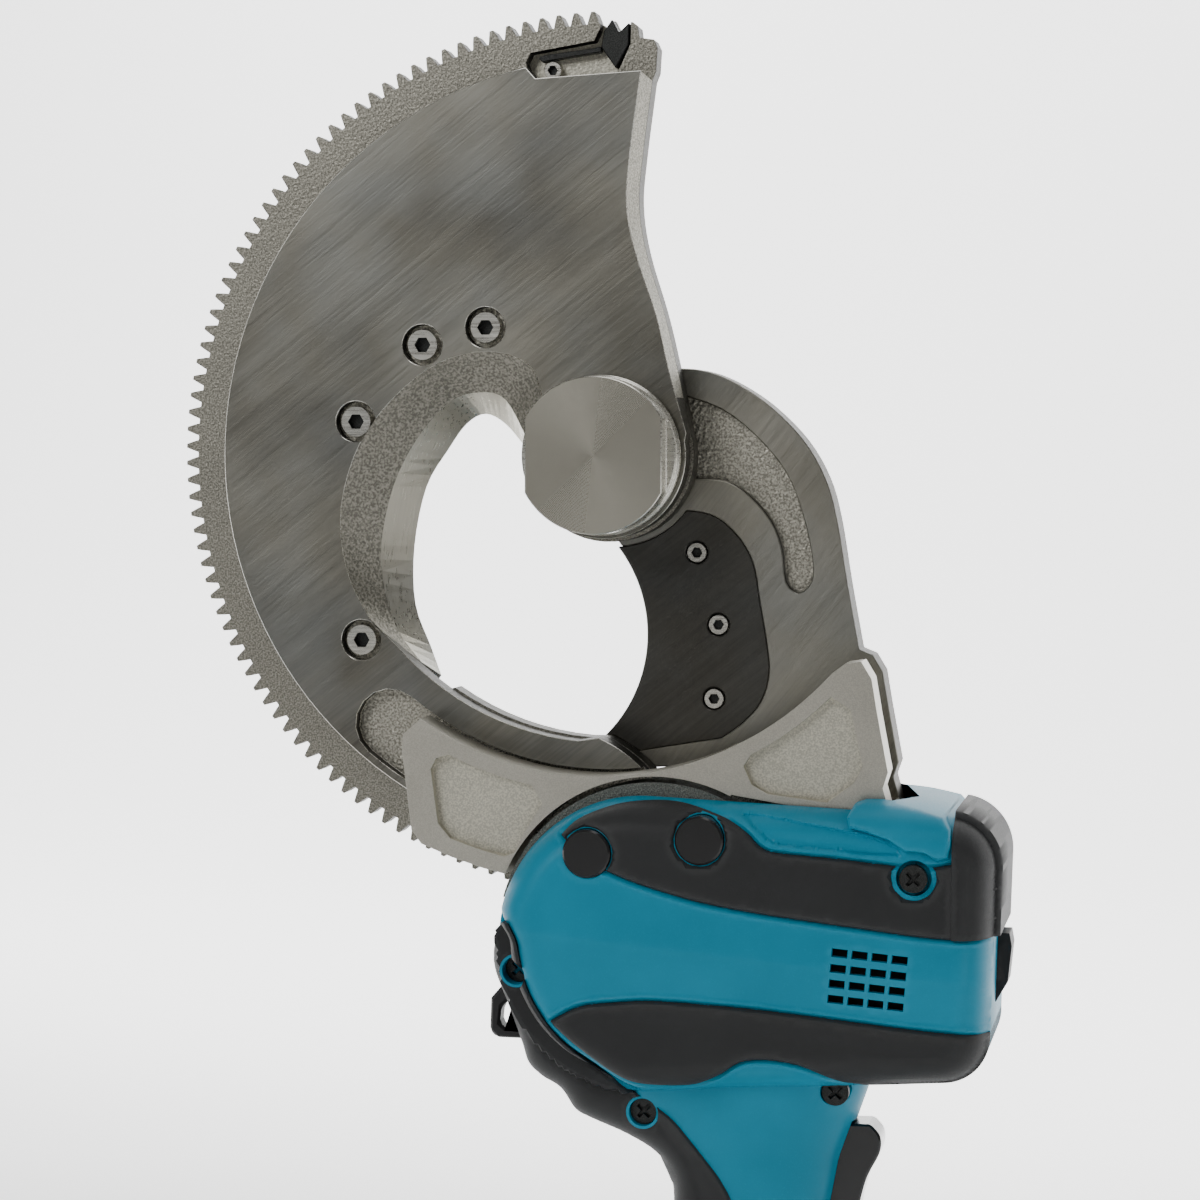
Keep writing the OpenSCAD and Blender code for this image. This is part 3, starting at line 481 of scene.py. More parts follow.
def panel(loops, holes, height, pitch, wall, rails=()):
    """A moulded surface over the x-z plane, bounded by every loop and pierced by the holes.

    height(points) gives how far the surface stands from the middle plane. wall(points) gives
    how deep the edge turns in. rails are lines along which extra points lie."""
    edges, points = [], []
    for loop in list(loops) + list(holes):
        ring = resample(loop, pitch)
        start = len(points)
        points += list(ring)
        edges += [(start + i, start + (i + 1) % len(ring)) for i in range(len(ring))]
    border = np.array(points)
    low, high = loops[0].min(0), loops[0].max(0)
    xs = np.arange(low[0], high[0], pitch)
    zs = np.arange(low[1], high[1], pitch * 0.87)
    grid = np.array([(x + (pitch / 2 if j % 2 else 0), z) for j, z in enumerate(zs) for x in xs])
    extra = [resample(rail, pitch) for rail in rails]
    grid = np.concatenate([grid] + extra)
    keep = np.ones(len(grid), bool)
    for loop in loops:
        keep &= inside(grid, loop)
    for hole in holes:
        keep &= ~inside(grid, hole)
    for i, loop in enumerate(list(loops) + list(holes)):
        keep &= distance(grid, loop) > pitch * 0.4
    allowed = [Vector(p) for p in np.concatenate([border, grid[keep]])]
    flat, _, faces, *_ = delaunay_2d_cdt(allowed, edges, [], 0, 1e-5)
    flat = np.array([tuple(p) for p in flat])
    faces = np.array([f for f in faces if len(f) == 3])
    centres = flat[faces].mean(1)
    good = np.ones(len(faces), bool)
    for loop in loops:
        good &= inside(centres, loop)
    for hole in holes:
        good &= ~inside(centres, hole)
    faces = faces[good]
    a, b, c = (flat[faces[:, i]] for i in range(3))
    turn = (b[:, 0] - a[:, 0]) * (c[:, 1] - a[:, 1]) - (b[:, 1] - a[:, 1]) * (c[:, 0] - a[:, 0])
    faces[turn < 0] = faces[turn < 0][:, ::-1]
    used = np.unique(faces)
    index = np.full(len(flat), -1)
    index[used] = np.arange(len(used))
    flat, faces = flat[used], index[faces]
    return flat, faces, height(flat), wall(flat)


def raise_panel(flat, faces, heights, depths):
    """Front half of a panel as points and faces, with its walls; normals point out."""
    count = len(flat)
    top = np.stack([flat[:, 0], -heights, flat[:, 1]], 1)
    low = np.stack([flat[:, 0], -depths, flat[:, 1]], 1)
    seen = {}
    for f in faces:
        for i in range(3):
            seen[(f[i], f[(i + 1) % 3])] = True
    rim = [(a, b) for a, b in seen if (b, a) not in seen]
    walls = [(b, a, a + count, b + count) for a, b in rim if heights[a] - depths[a] > 0.01
             or heights[b] - depths[b] > 0.01]
    return np.concatenate([top, low]), [tuple(f) for f in faces] + walls


def tidy(points, faces):
    """Drops points that no face uses."""
    used = sorted({int(i) for f in faces for i in f})
    where = {old: new for new, old in enumerate(used)}
    return np.asarray(points)[used], [[where[int(i)] for i in f] for f in faces]


def both_sides(points, faces):
    """The front half and its mirror image behind the middle plane."""
    mirrored = np.array(points) * [1, -1, 1]
    count = len(points)
    return np.concatenate([points, mirrored]), list(faces) + [[i + count for i in f][::-1] for f in faces]


def join(*parts):
    points, faces, start = [], [], 0
    for p, f in parts:
        points.append(np.asarray(p))
        faces += [[i + start for i in face] for face in f]
        start += len(p)
    return np.concatenate(points), faces


# ---------------------------------------------------------------- head
BEVEL_TOP = [[-17.1, 16.3], [-20.5, 24.4], [-31.8, 28.1], [-45.7, 25.1], [-58.5, 15.5],
             [-68.2, 2.6], [-73.2, -14], [-72, -30.2], [-66.4, -42.8], [-61.6, -48.3]]
BEVEL_LOW = [[-23, 5], [-28.8, 15.3], [-35.9, 17.3], [-44.6, 14.6], [-53.7, 4.6],
             [-60.5, -8.5], [-64, -25], [-62.8, -38], [-59.1, -48.6], [-52.5, -57]]
RIGHT_FRONT = [[10.2, 102.9], [7.1, 80], [6.4, 66], [9, 53.5], [14.4, 37.5], [17.8, 23], [22.6, 6]]
RIGHT_BACK = [[12, 101], [9.4, 81], [8.4, 68], [10.3, 55], [15.4, 38], [19, 23], [22.6, 6]]


SOCKETS = [(-32.7, 34.7), (-50.3, 30.1), (-69.1, 9.3), (-67.7, -50.5), (-15.9, 104.6), (22.9, -26.5),
           (28.9, -46.2), (27.7, -66.5)]
SOCKET_R = 2.3


def assign_faces(mesh, names, choose):
    """Gives each face one of the named materials; choose(centre, normal) returns its number."""
    mesh.materials.clear()
    for name in names:
        mesh.materials.append(MATERIALS[name])
    for face in mesh.polygons:
        centre = (np.array(face.center) - np.array(PIVOT)) / MM
        face.material_index = choose(centre, face.normal)


def slide_edge(mesh, old, new, depth, reach=0.35):
    """Moves the points that lie on curve old at a depth onto curve new, which makes a chamfer."""
    for vertex in mesh.vertices:
        place = (np.array(vertex.co) - np.array(PIVOT)) / MM
        if abs(place[1] - depth) > 0.05:
            continue
        gaps = np.linalg.norm(old - place[[0, 2]], axis=1)
        nearest = int(gaps.argmin())
        if gaps[nearest] < reach:
            target = to_row([[new[nearest][0], depth, new[nearest][1]]])[0]
            vertex.co = Vector(target)


class CUTTER_OT_blade(bpy.types.Operator):
    """Finish the moving blade: ground face, gritty chamfers and blasted rim"""
    bl_idname = "cutter.blade"
    bl_label = "Moving blade"

    def execute(self, context):
        mesh = merged_copy("moving_blade")
        slide_edge(mesh, curve(RIGHT_FRONT, 5), curve(RIGHT_BACK, 5), 0)
        mesh = broken_edges(mesh, head().edge, 52)

        def choose(centre, normal):
            if normal.y < -0.95:
                return 0 if centre[1] < -6.5 else 2
            # Edge breaks half turned to the front take the bright steel: a painted highlight along the edges.
            if normal.y < -0.5:
                return 4
            if normal.y < -0.1:
                return 1
            # Side and back walls take the darker steel: painted shade.
            return 3
        finishes = ["face_steel", "blasted_steel", "gritty_floor", "shaded_wall_steel", "screw_steel"]
        assign_faces(mesh, finishes, choose)
        finish_piece(mesh, "blade_face", "blade", "forged_steel", ["moving_blade"])

        top, low = curve(BEVEL_TOP, 4), curve(BEVEL_LOW, 4)
        rings = [[(a[0], BLADE_FACE + 0.05, a[1]), (b[0], -0.02, b[1]), (a[0], -0.02, a[1])]
                 for a, b in zip(top, low)]
        points, faces = loft(rings)
        new_piece("blade_slope", points, faces, ["chamfer_steel"], "blade", "forged_steel")

        mesh = broken_edges(merged_copy("blade_rim"), head().edge * 0.7, 40)

        def choose_rim(centre, normal):
            if abs(normal.y) > 0.8:
                return 2 if centre[1] > 3 and centre[1] < 5 else 0
            # Side walls, save the outer tooth flanks, take the darker steel: painted shade.
            return 0 if math.hypot(centre[0], centre[2]) > 115 and abs(normal.y) > 0.1 else 1
        assign_faces(mesh, ["blasted_steel", "shaded_wall_steel", "pocket_alloy"], choose_rim)
        finish_piece(mesh, "blade_teeth", "blade", "forged_steel", ["blade_rim"])

        mesh = merged_copy("moving_cutter", False)
        assign_faces(mesh, ["blade_steel"], lambda centre, normal: 0)
        finish_piece(mesh, "ground_cutter", "blade", "blade_steel", ["moving_cutter"])
        return {"FINISHED"}


class CUTTER_OT_jaw(bpy.types.Operator):
    """Finish the fixed jaw, its insert and the cast guide bracket"""
    bl_idname = "cutter.jaw"
    bl_label = "Fixed jaw"

    def execute(self, context):
        mesh = broken_edges(merged_copy("jaw_frame"), head().edge * 1.6, 35)

        def choose(centre, normal):
            if abs(normal.y) > 0.9:
                recess = 9 < centre[1] < 13
                return 1 if recess else 0
            # Walls of the jaw plate take the darker steel: painted shade.
            return 0 if abs(normal.y) > 0.2 else 2
        assign_faces(mesh, ["jaw_steel", "gritty_floor", "shaded_wall_steel"], choose)
        finish_piece(mesh, "jaw_plate", "housing", "forged_steel", ["jaw_frame"])

        mesh = broken_edges(merged_copy("fixed_cutter"), head().edge, 35)
        assign_faces(mesh, ["dark_steel"], lambda centre, normal: 0)
        finish_piece(mesh, "fixed_insert", "housing", "dark_steel", ["fixed_cutter"])

        mesh = broken_edges(merged_copy("guide_bracket"), head().cast_edge, 35)
        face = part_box("guide_bracket")[0].y / MM
        assign_faces(mesh, ["cast_alloy", "pocket_alloy"],
                     lambda centre, normal: 1 if normal.y < -0.9 and face + 0.4 < centre[1] < face + 4 else 0)
        finish_piece(mesh, "bracket_casting", "housing", "cast_alloy", ["guide_bracket"])
        return {"FINISHED"}


class CUTTER_OT_hardware(bpy.types.Operator):
    """Give the screws, the pivot bolt and the end teeth broken edges"""
    bl_idname = "cutter.hardware"
    bl_label = "Bolt and screws"

    def execute(self, context):
        small = {"cutter_screws": 0.18, "fixed_cutter_screws": 0.12, "spring_screw": 0.12,
                 "tooth_block": 0.25, "tooth_spring": 0.15, "foot_bolts": 0.3, "housing_screws": 0.12,
                 "pivot_nut": 0.8, "cover_plugs": 0.5, "lanyard_loop": 0.8}
        for node, width in small.items():
            mesh = broken_edges(merged_copy(node), width * MM, 40)
            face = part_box(node)[0].y / MM
            socket = 4 if "cutter_screws" in node or node == "spring_screw" else 0

            # Faces deep in a cutter screw's socket take the near-black finish: painted shade in the recess.
            def in_socket(centre, normal):
                deep = face + 0.1 < centre[1] < face + socket
                off_axis = min(math.hypot(centre[0] - x, centre[2] - z) for x, z in SOCKETS)
                return 1 if deep and off_axis < SOCKET_R else 0
            assign_faces(mesh, [SLOT_OF[node], "black_steel"], in_socket)
            finish_piece(mesh, node + "_finish", BODY_OF[node], SLOT_OF[node], [node])
        mesh = broken_edges(merged_copy("pivot_bolt"), 0.8 * MM, 40)

        def choose(centre, normal):
            return 0 if normal.y < -0.9 and centre[1] < BOLT_FACE + 1 else 1
        assign_faces(mesh, ["turned_head", "screw_steel"], choose)
        finish_piece(mesh, "pivot_head", "housing", "screw_steel", ["pivot_bolt"])
        return {"FINISHED"}


# ---------------------------------------------------------------- moulded body
ROUND = (13.6, -129.8, 39.5)
SILHOUETTE = wrap_of([ROUND, (94, -107, 13), (93, -151.5, 12.5)])
UPPER_EDGE = [[-6.8, -100], [-2.4, -95.8], [7.1, -92.1], [16.4, -91], [26.3, -91.7], [36.7, -94.6],
              [42.9, -98.1], [46.8, -101.8], [51.6, -103.3], [65.7, -104.4], [81.2, -106], [89, -106.4],
              [95, -105.6], [99, -104]]
UPPER_LOW = [[112, -124.4], [101.3, -124.9], [89.3, -124.4], [75.3, -122.8], [56.4, -120.5], [42.2, -118.6],
             [27.8, -115.9], [13.3, -111.8], [4.6, -108.4]]
LOWER_EDGE = [[-9.7, -149.6], [-1.6, -145.4], [8.2, -143.9], [17.9, -143.2], [32.4, -143.7], [46.8, -144.7],
              [65.8, -146.6], [84.6, -148.6], [98.6, -149.7], [110, -150.6]]
LOWER_LOW = [[110, -172], [97, -170], [86.9, -167.2], [70.3, -165.2], [56.2, -159], [42.9, -158.2],
             [35, -162.7], [26.8, -166], [15.3, -165.9], [7.8, -163.8], [-1.7, -157.1], [-9, -150.8]]
TOP_INSET = [[40.7, -93.5], [46, -93.7], [61.6, -96.1], [75, -98.5], [83.1, -101.5], [82.9, -103.4],
             [75.1, -103.3], [61.9, -102.2], [51.5, -101.5], [48.7, -100.3], [44.7, -97.2]]
SCREW_TOP = (86.5, -109)
PLUGS = [(0.8, -104.4), (30.7, -100.3)]
RIDGE = ((-19.0, -125.2), (106.0, -136.9))
SIDE = 21.0
BULGE = 14.0
SHOULDER = (0, -0.25, -0.7, -1.4, -2.4, -3.8, -5.2, -5.6, -6.2, -7.2, -8.6)
TOP_WELL, TOP_RING, LOW_WELL, PLUG_WELL = 4.6, 5.6, 4.4, 6.6
LOW_SCREWS = [(-21, -138), (13, -175.5), (64.5, -168.5)]
COVER = [[68.9, -93.8], [70.4, -90.8], [73, -89.9], [77.4, -89.9], [86, -91.4], [93.6, -93.4], [95.6, -96.4],
         [95.9, -100], [95.2, -103.6], [92.6, -104.4], [88.8, -102.4], [84.2, -102.2], [80, -99.4],
         [74, -97.4], [69.6, -96.4]]


def rounded(depth, width):
    """0 at an edge, rising to 1 at width inside it, as a quarter round."""
    t = np.clip(depth / width, 0, 1)
    return np.sqrt(np.clip(1 - (1 - t) ** 2, 0, 1))


def ridge_drop(points):
    """How far the shell falls away on either side of its long crease."""
    (x0, z0), (x1, z1) = RIDGE
    line = z0 + (points[:, 0] - x0) * (z1 - z0) / (x1 - x0)
    gap = points[:, 1] - line
    return np.where(gap < 0, np.minimum(-gap * 0.13, 2.6), np.minimum(gap * 0.03, 1.2))


def smooth(value, low, high):
    t = np.clip((value - low) / (high - low), 0, 1)
    return t * t * (3 - 2 * t)


def depth_inside(points, loop):
    """Distance inside a closed loop, below zero outside it."""
    gap = distance(points, loop)
    return np.where(inside(points, loop), gap, -gap)


def shell_height(points, grow=0.0):
    """How far the shell stands from the middle plane, with its skin grown outwards."""
    ledge = 5.2 * smooth(-points[:, 1], 120, 130) * smooth(-points[:, 0], -16, 2)
    within = np.maximum(depth_inside(points, SILHOUETTE) + grow - ledge, 0)
    base = SIDE + grow + BULGE * rounded(within, 9.0 - ledge * 0.6)
    taper = np.clip((points[:, 0] - 30) / 70, 0, 1) * 2.2
    return np.maximum(base - ridge_drop(points) - taper, SIDE + grow)


UPPER = np.concatenate([curve(UPPER_EDGE, 5), curve(UPPER_LOW, 5)])
LOWER = np.concatenate([curve(LOWER_EDGE, 5), curve(LOWER_LOW, 5)])


def grown(loop, by):
    """A closed loop moved outwards, or inwards where by is below zero."""
    ahead, behind = np.roll(loop, -1, 0), np.roll(loop, 1, 0)
    along = ahead - behind
    along /= np.maximum(np.linalg.norm(along, axis=1, keepdims=True), 1e-9)
    area = (loop[:, 0] * ahead[:, 1] - ahead[:, 0] * loop[:, 1]).sum()
    out = np.stack([along[:, 1], -along[:, 0]], 1) * (1 if area > 0 else -1)
    return loop + out * by


def circle(x, z, radius, steps=40):
    return arc((x, z), radius, 0, 360, steps)[:-1]


VENT_TILT = math.radians(-5.3)
VENT_ALONG = np.array([math.cos(VENT_TILT), math.sin(VENT_TILT)])
VENT_DOWN = np.array([math.sin(VENT_TILT), -math.cos(VENT_TILT)])
VENT_CORNER = np.array([65.5, -127.6])
VENT_STEP = (5.2, 4.1)
VENT_SIZE = (4.1, 2.2)


def vent_corners():
    """The top left corners of four rows of four slots, square to the barrel."""
    return [VENT_CORNER + VENT_ALONG * VENT_STEP[0] * i + VENT_DOWN * VENT_STEP[1] * j
            for j in range(4) for i in range(4)]


def slot_loop(corner):
    across, fall = VENT_ALONG * VENT_SIZE[0], VENT_DOWN * VENT_SIZE[1]
    return np.array([corner, corner + across, corner + across + fall, corner + fall])


def wall_depth(points):
    """The shell's side wall runs to the middle plane, except where the head passes through."""
    reach = np.linalg.norm(points, axis=1)
    open_head = (reach < 122.5) | ((points[:, 0] > 42) & (points[:, 0] < 81.5) & (points[:, 1] > -114))
    return np.where(open_head, SIDE - 0.1, 0.0)


def ring_recess(centre, radius, deep, height):
    """A round recess with a flat floor, below a hole in a panel."""
    rim = circle(*centre, radius)
    level = height(rim)
    floor = level.min() - deep
    count = len(rim)
    points = [(x, -h, z) for (x, z), h in zip(rim, level)] + [(x, -floor, z) for x, z in rim]
    points.append((centre[0], -floor, centre[1]))
    faces = []
    for i in range(count):
        j = (i + 1) % count
        faces.append((i, j, j + count, i + count))
        faces.append((i + count, j + count, 2 * count))
    return np.array(points), faces


GRIP = [  # height, middle, half depth, half width, squareness
    (-156, 33, 40, 25.5, 2.3), (-163, 33.6, 40, 25.4, 2.3), (-170, 35, 36.5, 23.8, 2.3),
    (-178, 37.2, 31.5, 21.8, 2.3), (-188, 39.6, 25.5, 19.8, 2.3), (-200, 41.2, 21.6, 18.6, 2.3),
    (-220, 43.4, 21.4, 18.4, 2.3), (-245, 46, 21.8, 18.8, 2.3), (-268, 48.2, 22.4, 19.4, 2.4),
    (-278, 47.5, 26, 21.5, 2.7), (-285, 43, 34, 25.5, 3.4), (-291, 38, 43.5, 30.5, 4.5),
    (-295, 36.3, 47, 33, 5.5), (-299.6, 36, 48, 34, 6)]


def grip_rings(grow=0.0):
    rows = np.array(GRIP, float)
    heights = np.concatenate([np.arange(-156, -290, -2.2), np.arange(-290, -299.7, -1.0), [-299.6]])
    columns = [np.interp(-heights, -rows[:, 0], rows[:, k]) for k in range(1, 5)]
    angles = np.linspace(0, math.tau, 73)[:-1]
    rings = []
    for z, mid, deep, wide, power in zip(heights, *columns):
        c, s = np.cos(angles), np.sin(angles)
        rings.append(np.stack([mid + (deep + grow) * np.sign(c) * np.abs(c) ** (2 / power),
                               (wide + grow) * np.sign(s) * np.abs(s) ** (2 / power),
                               np.full(len(angles), z)], 1))
    return rings


def loft(rings):
    """Skin over rings of equal point count, closed at both ends."""
    count = len(rings[0])
    points = np.concatenate(rings)
    faces = []
    for k in range(len(rings) - 1):
        for i in range(count):
            j = (i + 1) % count
            faces.append((k * count + i, k * count + j, (k + 1) * count + j, (k + 1) * count + i))
    faces.append(tuple(range(count))[::-1])
    faces.append(tuple((len(rings) - 1) * count + i for i in range(count)))
    return points, [f[::-1] for f in faces]


def block(low, high):
    points = [(x, y, z) for x in (low[0], high[0]) for y in (low[1], high[1]) for z in (low[2], high[2])]
    return points, [(0, 1, 3, 2), (4, 6, 7, 5), (0, 4, 5, 1), (2, 3, 7, 6), (0, 2, 6, 4), (1, 5, 7, 3)]


def post(centre, radius, near, far):
    """A round bar along y."""
    edge = circle(*centre, radius, 32)
    return loft([[(x, near, z) for x, z in edge], [(x, far, z) for x, z in edge]])


def boolean_cut(mesh, solids):
    """Cuts solids, given as points and faces in the head's frame, out of a closed mesh."""
    points, faces = join(*solids)
    tool_mesh = bpy.data.meshes.new("cut_tool")
    tool_mesh.from_pydata([tuple(p) for p in to_row(points)], [], faces)
    tool = bpy.data.objects.new("cut_tool", tool_mesh)
    bpy.context.scene.collection.objects.link(tool)

    def build(holder):
        cut = holder.modifiers.new("cut", "BOOLEAN")
        cut.operation = "DIFFERENCE"
        cut.object = tool
        cut.solver = "EXACT"
    result = apply_modifiers(mesh, build)
    bpy.data.objects.remove(tool)
    return result


class CUTTER_OT_shell(bpy.types.Operator):
    """Mould the two housing shells with their crease, vents and screw wells"""
    bl_idname = "cutter.shell"
    bl_label = "Housing shells"

    def execute(self, context):
        pitch = body().pitch / MM
        slots = [slot_loop(corner) for corner in vent_corners()]
        wells = [circle(*SCREW_TOP, TOP_WELL), circle(*LOW_SCREWS[0], LOW_WELL)]
        wells += [circle(*p, PLUG_WELL) for p in PLUGS]
        inset = np.array(TOP_INSET)

        def height(points):
            dip = 0.0
            for loop in (UPPER, LOWER):
                gap = distance(points, loop)
                dip = dip + 0.8 * np.exp(-(gap / 0.5) ** 2) - 0.35 * np.exp(-((gap - 1.2) / 0.45) ** 2)
            gap = distance(points, inset)
            dip = dip + np.where(inside(points, inset), 1.1 * np.clip(gap / 0.5, 0, 1), 0)
            return np.maximum(shell_height(points) - dip, SIDE)
        rails = [grown(loop, by) for loop in (UPPER, LOWER) for by in (-0.5, 0, 0.5, 0.9, 1.3, 1.9)]
        rails += [grown(inset, by) for by in (0.1, -0.55)] + [grown(SILHOUETTE, by) for by in SHOULDER]
        (x0, z0), (x1, z1) = RIDGE
        rails.append(np.array([[x0, z0], [x1, z1]]))
        flat, faces, top, depth = panel([SILHOUETTE], slots + wells, height, pitch, wall_depth, rails)
        hole_edge = np.zeros(len(flat), bool)
        for loop in slots + wells:
            hole_edge |= distance(flat, loop) < 0.05
        depth = np.where(hole_edge, top - 2.4, depth)
        points, faces = tidy(*raise_panel(flat, faces, top, depth))
        wells_made = [ring_recess(SCREW_TOP, TOP_WELL, 1.9, height)]
        wells_made.append(ring_recess(LOW_SCREWS[0], LOW_WELL, 3.6, height))
        wells_made += [ring_recess(p, PLUG_WELL, 2.2, height) for p in PLUGS]
        half_points, half_faces = join((points, faces), *wells_made)
        grip = bpy.data.meshes.new("grip")
        grip_points, grip_faces = loft(grip_rings())
        grip.from_pydata([tuple(p) for p in to_row(grip_points)], [], grip_faces)
        cuts = [block((50, -6.4, -240.4), (90, 6.4, -178.4))]
        cuts += [post(p, 3.9, -40, -12) for p in LOW_SCREWS]
        grip = boolean_cut(grip, cuts)
        grip_points = (np.array([v.co for v in grip.vertices]) - np.array(PIVOT)) / MM
        grip_faces = [list(p.vertices) for p in grip.polygons]
        for side, name in ((1, "housing_front"), (-1, "housing_rear")):
            shell_points = half_points * [1, side, 1]
            shell_faces = [f if side > 0 else f[::-1] for f in half_faces]
            parts = [(shell_points, shell_faces)]
            if side > 0:
                parts.append((grip_points, grip_faces))
            made = join(*parts)
            new_piece(name.replace("housing", "shell"), *made, ["housing_plastic"], "housing",
                      "housing_plastic", [name], 32)
        return {"FINISHED"}


def cushion(name, loops, holes, raised, edge, slot, replaced, wall, pitch, base=None):
    base = base or shell_height

    def height(points):
        near = np.min([distance(points, loop) for loop in [loops[0]] + list(holes)], axis=0)
        return base(points) - 0.3 + (raised + 0.3) * rounded(near, edge)
    rails = [grown(loops[0], -by) for by in (edge * 0.15, edge * 0.4, edge * 0.8)]
    rails += [grown(SILHOUETTE, by) for by in SHOULDER]
    flat, faces, top, depth = panel(loops, holes, height, pitch, wall, rails)
    points, faces = tidy(*raise_panel(flat, faces, top, np.minimum(depth, top)))
    return new_piece(name, *both_sides(points, faces), [slot], "housing", slot, replaced, 35)


class CUTTER_OT_cushions(bpy.types.Operator):
    """Lay the rubber cushions and the end cap over the shells"""
    bl_idname = "cutter.cushions"
    bl_label = "Rubber cushions"

    def execute(self, context):
        pitch = body().pitch / MM
        proud = body().raised / MM
        end = 96.2
        left_of_end = np.array([[-60, -60], [end - 0.05, -60], [end - 0.05, -200], [-60, -200]], float)
        right_of_end = np.array([[end, -60], [130, -60], [130, -125.5], [end, -124.8]], float)
        wells = [circle(*SCREW_TOP, TOP_RING)] + [circle(*p, PLUG_WELL) for p in PLUGS]

        def sunk(points):
            return shell_height(points) - 1.5
        cushion("upper_rubber", [UPPER, SILHOUETTE, left_of_end], wells, proud, 1.6, "cushion_rubber",
                ["upper_cushion"], sunk, pitch)

        def to_middle(points):
            at_outline = distance(points, SILHOUETTE) < 0.3
            return np.where(at_outline, 0.2, shell_height(points) - 1.5)
        cushion("lower_rubber", [LOWER, SILHOUETTE], [], proud, 1.6, "cushion_rubber",
                ["lower_cushion"], to_middle, pitch)
        rim = grown(SILHOUETTE, 1.6)

        def round_end(points):
            return np.where(distance(points, rim) < 0.3, 0.0, shell_height(points) - 1.5)
        cushion("end_rubber", [rim, right_of_end], [], proud, 2.4, "cushion_rubber", ["end_cap"],
                round_end, pitch)
        return {"FINISHED"}


PALM_BACK = [[-22.6, -123.6], [-26, -126.4], [-30, -131.5], [-30.9, -136], [-30.1, -141], [-26.5, -149.8],
             [-23, -159.6], [-21, -165.5], [-16.9, -169.4], [-11.9, -172.4], [-7.9, -178], [-2.8, -180.7],
             [6.2, -184.3], [14.2, -188.9], [18.2, -194.7], [19, -203], [20.4, -218], [22.5, -235]]
PALM_FRONT = [[44, -235], [41.5, -215], [37.6, -200], [34.3, -193.2], [30.4, -188], [25.5, -181.8],
              [21.5, -177.1], [16.6, -173.4], [10.5, -169.8], [4.4, -165.3], [-1.9, -160.2], [-10.1, -151.6],
              [-15.4, -143], [-17.6, -134.2], [-18.9, -128.3], [-20.9, -124]]


def grip_height(points):
    """How far the grip stands from the middle plane, or 0 beside it."""
    rows = np.array(GRIP, float)
    mid, deep, wide, power = [np.interp(-points[:, 1], -rows[:, 0], rows[:, k]) for k in range(1, 5)]
    across = np.clip(np.abs(points[:, 0] - mid) / deep, 0, 1)
    return np.where(points[:, 1] < GRIP[0][0], wide * (1 - across ** power) ** (1 / power), 0)


def ring_tube(centre, inner, outer, near, far):
    """A short tube about an axis along y, between two distances from the middle plane."""
    loops = [(inner, near), (outer, near), (outer, far), (inner, far)]
    rings = []
    for radius, level in loops:
        edge = circle(*centre, radius, 36)
        rings.append(np.stack([edge[:, 0], np.full(len(edge), -level), edge[:, 1]], 1))
    count = len(rings[0])
    faces = [(k * count + i, k * count + (i + 1) % count, (k + 1) % 4 * count + (i + 1) % count,
              (k + 1) % 4 * count + i) for k in range(4) for i in range(count)]
    return np.concatenate(rings), faces


class CUTTER_OT_palm(bpy.types.Operator):
    """Form the palm cushion down the back of the grip, and the cover on top"""
    bl_idname = "cutter.palm"
    bl_label = "Palm cushion and top cover"

    def execute(self, context):
        pitch = body().pitch / MM
        proud = body().raised / MM
        back, front = curve(PALM_BACK, 5), curve(PALM_FRONT, 5)
        outline = np.concatenate([back, front])
        open_back = np.concatenate([back, back[::-1] + [0.001, 0]])
        open_front = np.concatenate([front, front[::-1] + [0.001, 0]])

        def height(points):
            half = np.interp(-points[:, 1], [127, 150, 185, 205, 235], [20, 20.5, 18.6, 17.2, 17.6])
            hump = half * rounded(distance(points, open_back), 9.5) ** 0.8
            on_shell = np.where(inside(points, grown(SILHOUETTE, proud)), shell_height(points, proud), 0)
            on_grip = grip_height(points) + proud
            surface = np.maximum(np.maximum(hump, on_shell), on_grip)
            lip = (proud + 0.3) * (1 - rounded(distance(points, open_front), 1.5))
            return np.maximum(surface - lip, 0.01)
        wells = [circle(*p, LOW_WELL) for p in LOW_SCREWS[:2]]
        rails = [grown(outline, by) for by in (-0.25, -0.7, -1.4)]
        rails += [grown(SILHOUETTE, by) for by in SHOULDER]
        flat, faces, top, depth = panel([outline], wells, height, pitch,
                                        lambda points: np.full(len(points), 0.0), rails)
        at_back = distance(flat, open_back) < 0.05
        depth = np.where(at_back, 0.0, np.maximum(top - 2.5, 0))
        hole_edge = np.min([distance(flat, loop) for loop in wells], axis=0) < 0.05
        depth = np.where(hole_edge, np.maximum(top - 5, 0), depth)
        points, faces = tidy(*raise_panel(flat, faces, top, depth))
        new_piece("palm_rubber", *both_sides(points, faces), ["cushion_rubber"], "housing",
                  "cushion_rubber", ["palm_cushion"], 35)
        rings = []
        for place in LOW_SCREWS[:2]:
            level = height(np.array([place], float))[0]
            rings.append(ring_tube(place, 3.75, 4.5, 12, level + 0.35))
        new_piece("screw_rings", *join(*rings), ["housing_plastic"], "housing", "housing_plastic")
        outside = grown(SILHOUETTE, 3.0)

        def cover_base(points):
            within = np.maximum(depth_inside(points, outside), 0)
            return SIDE + (BULGE - 1.6) * rounded(within, 10)
        cushion("cover_top", [np.array(COVER)], [circle(*SCREW_TOP, TOP_RING)], 1.0, 1.2, "housing_plastic",
                ["top_cover"], wall_depth, pitch, cover_base)
        return {"FINISHED"}


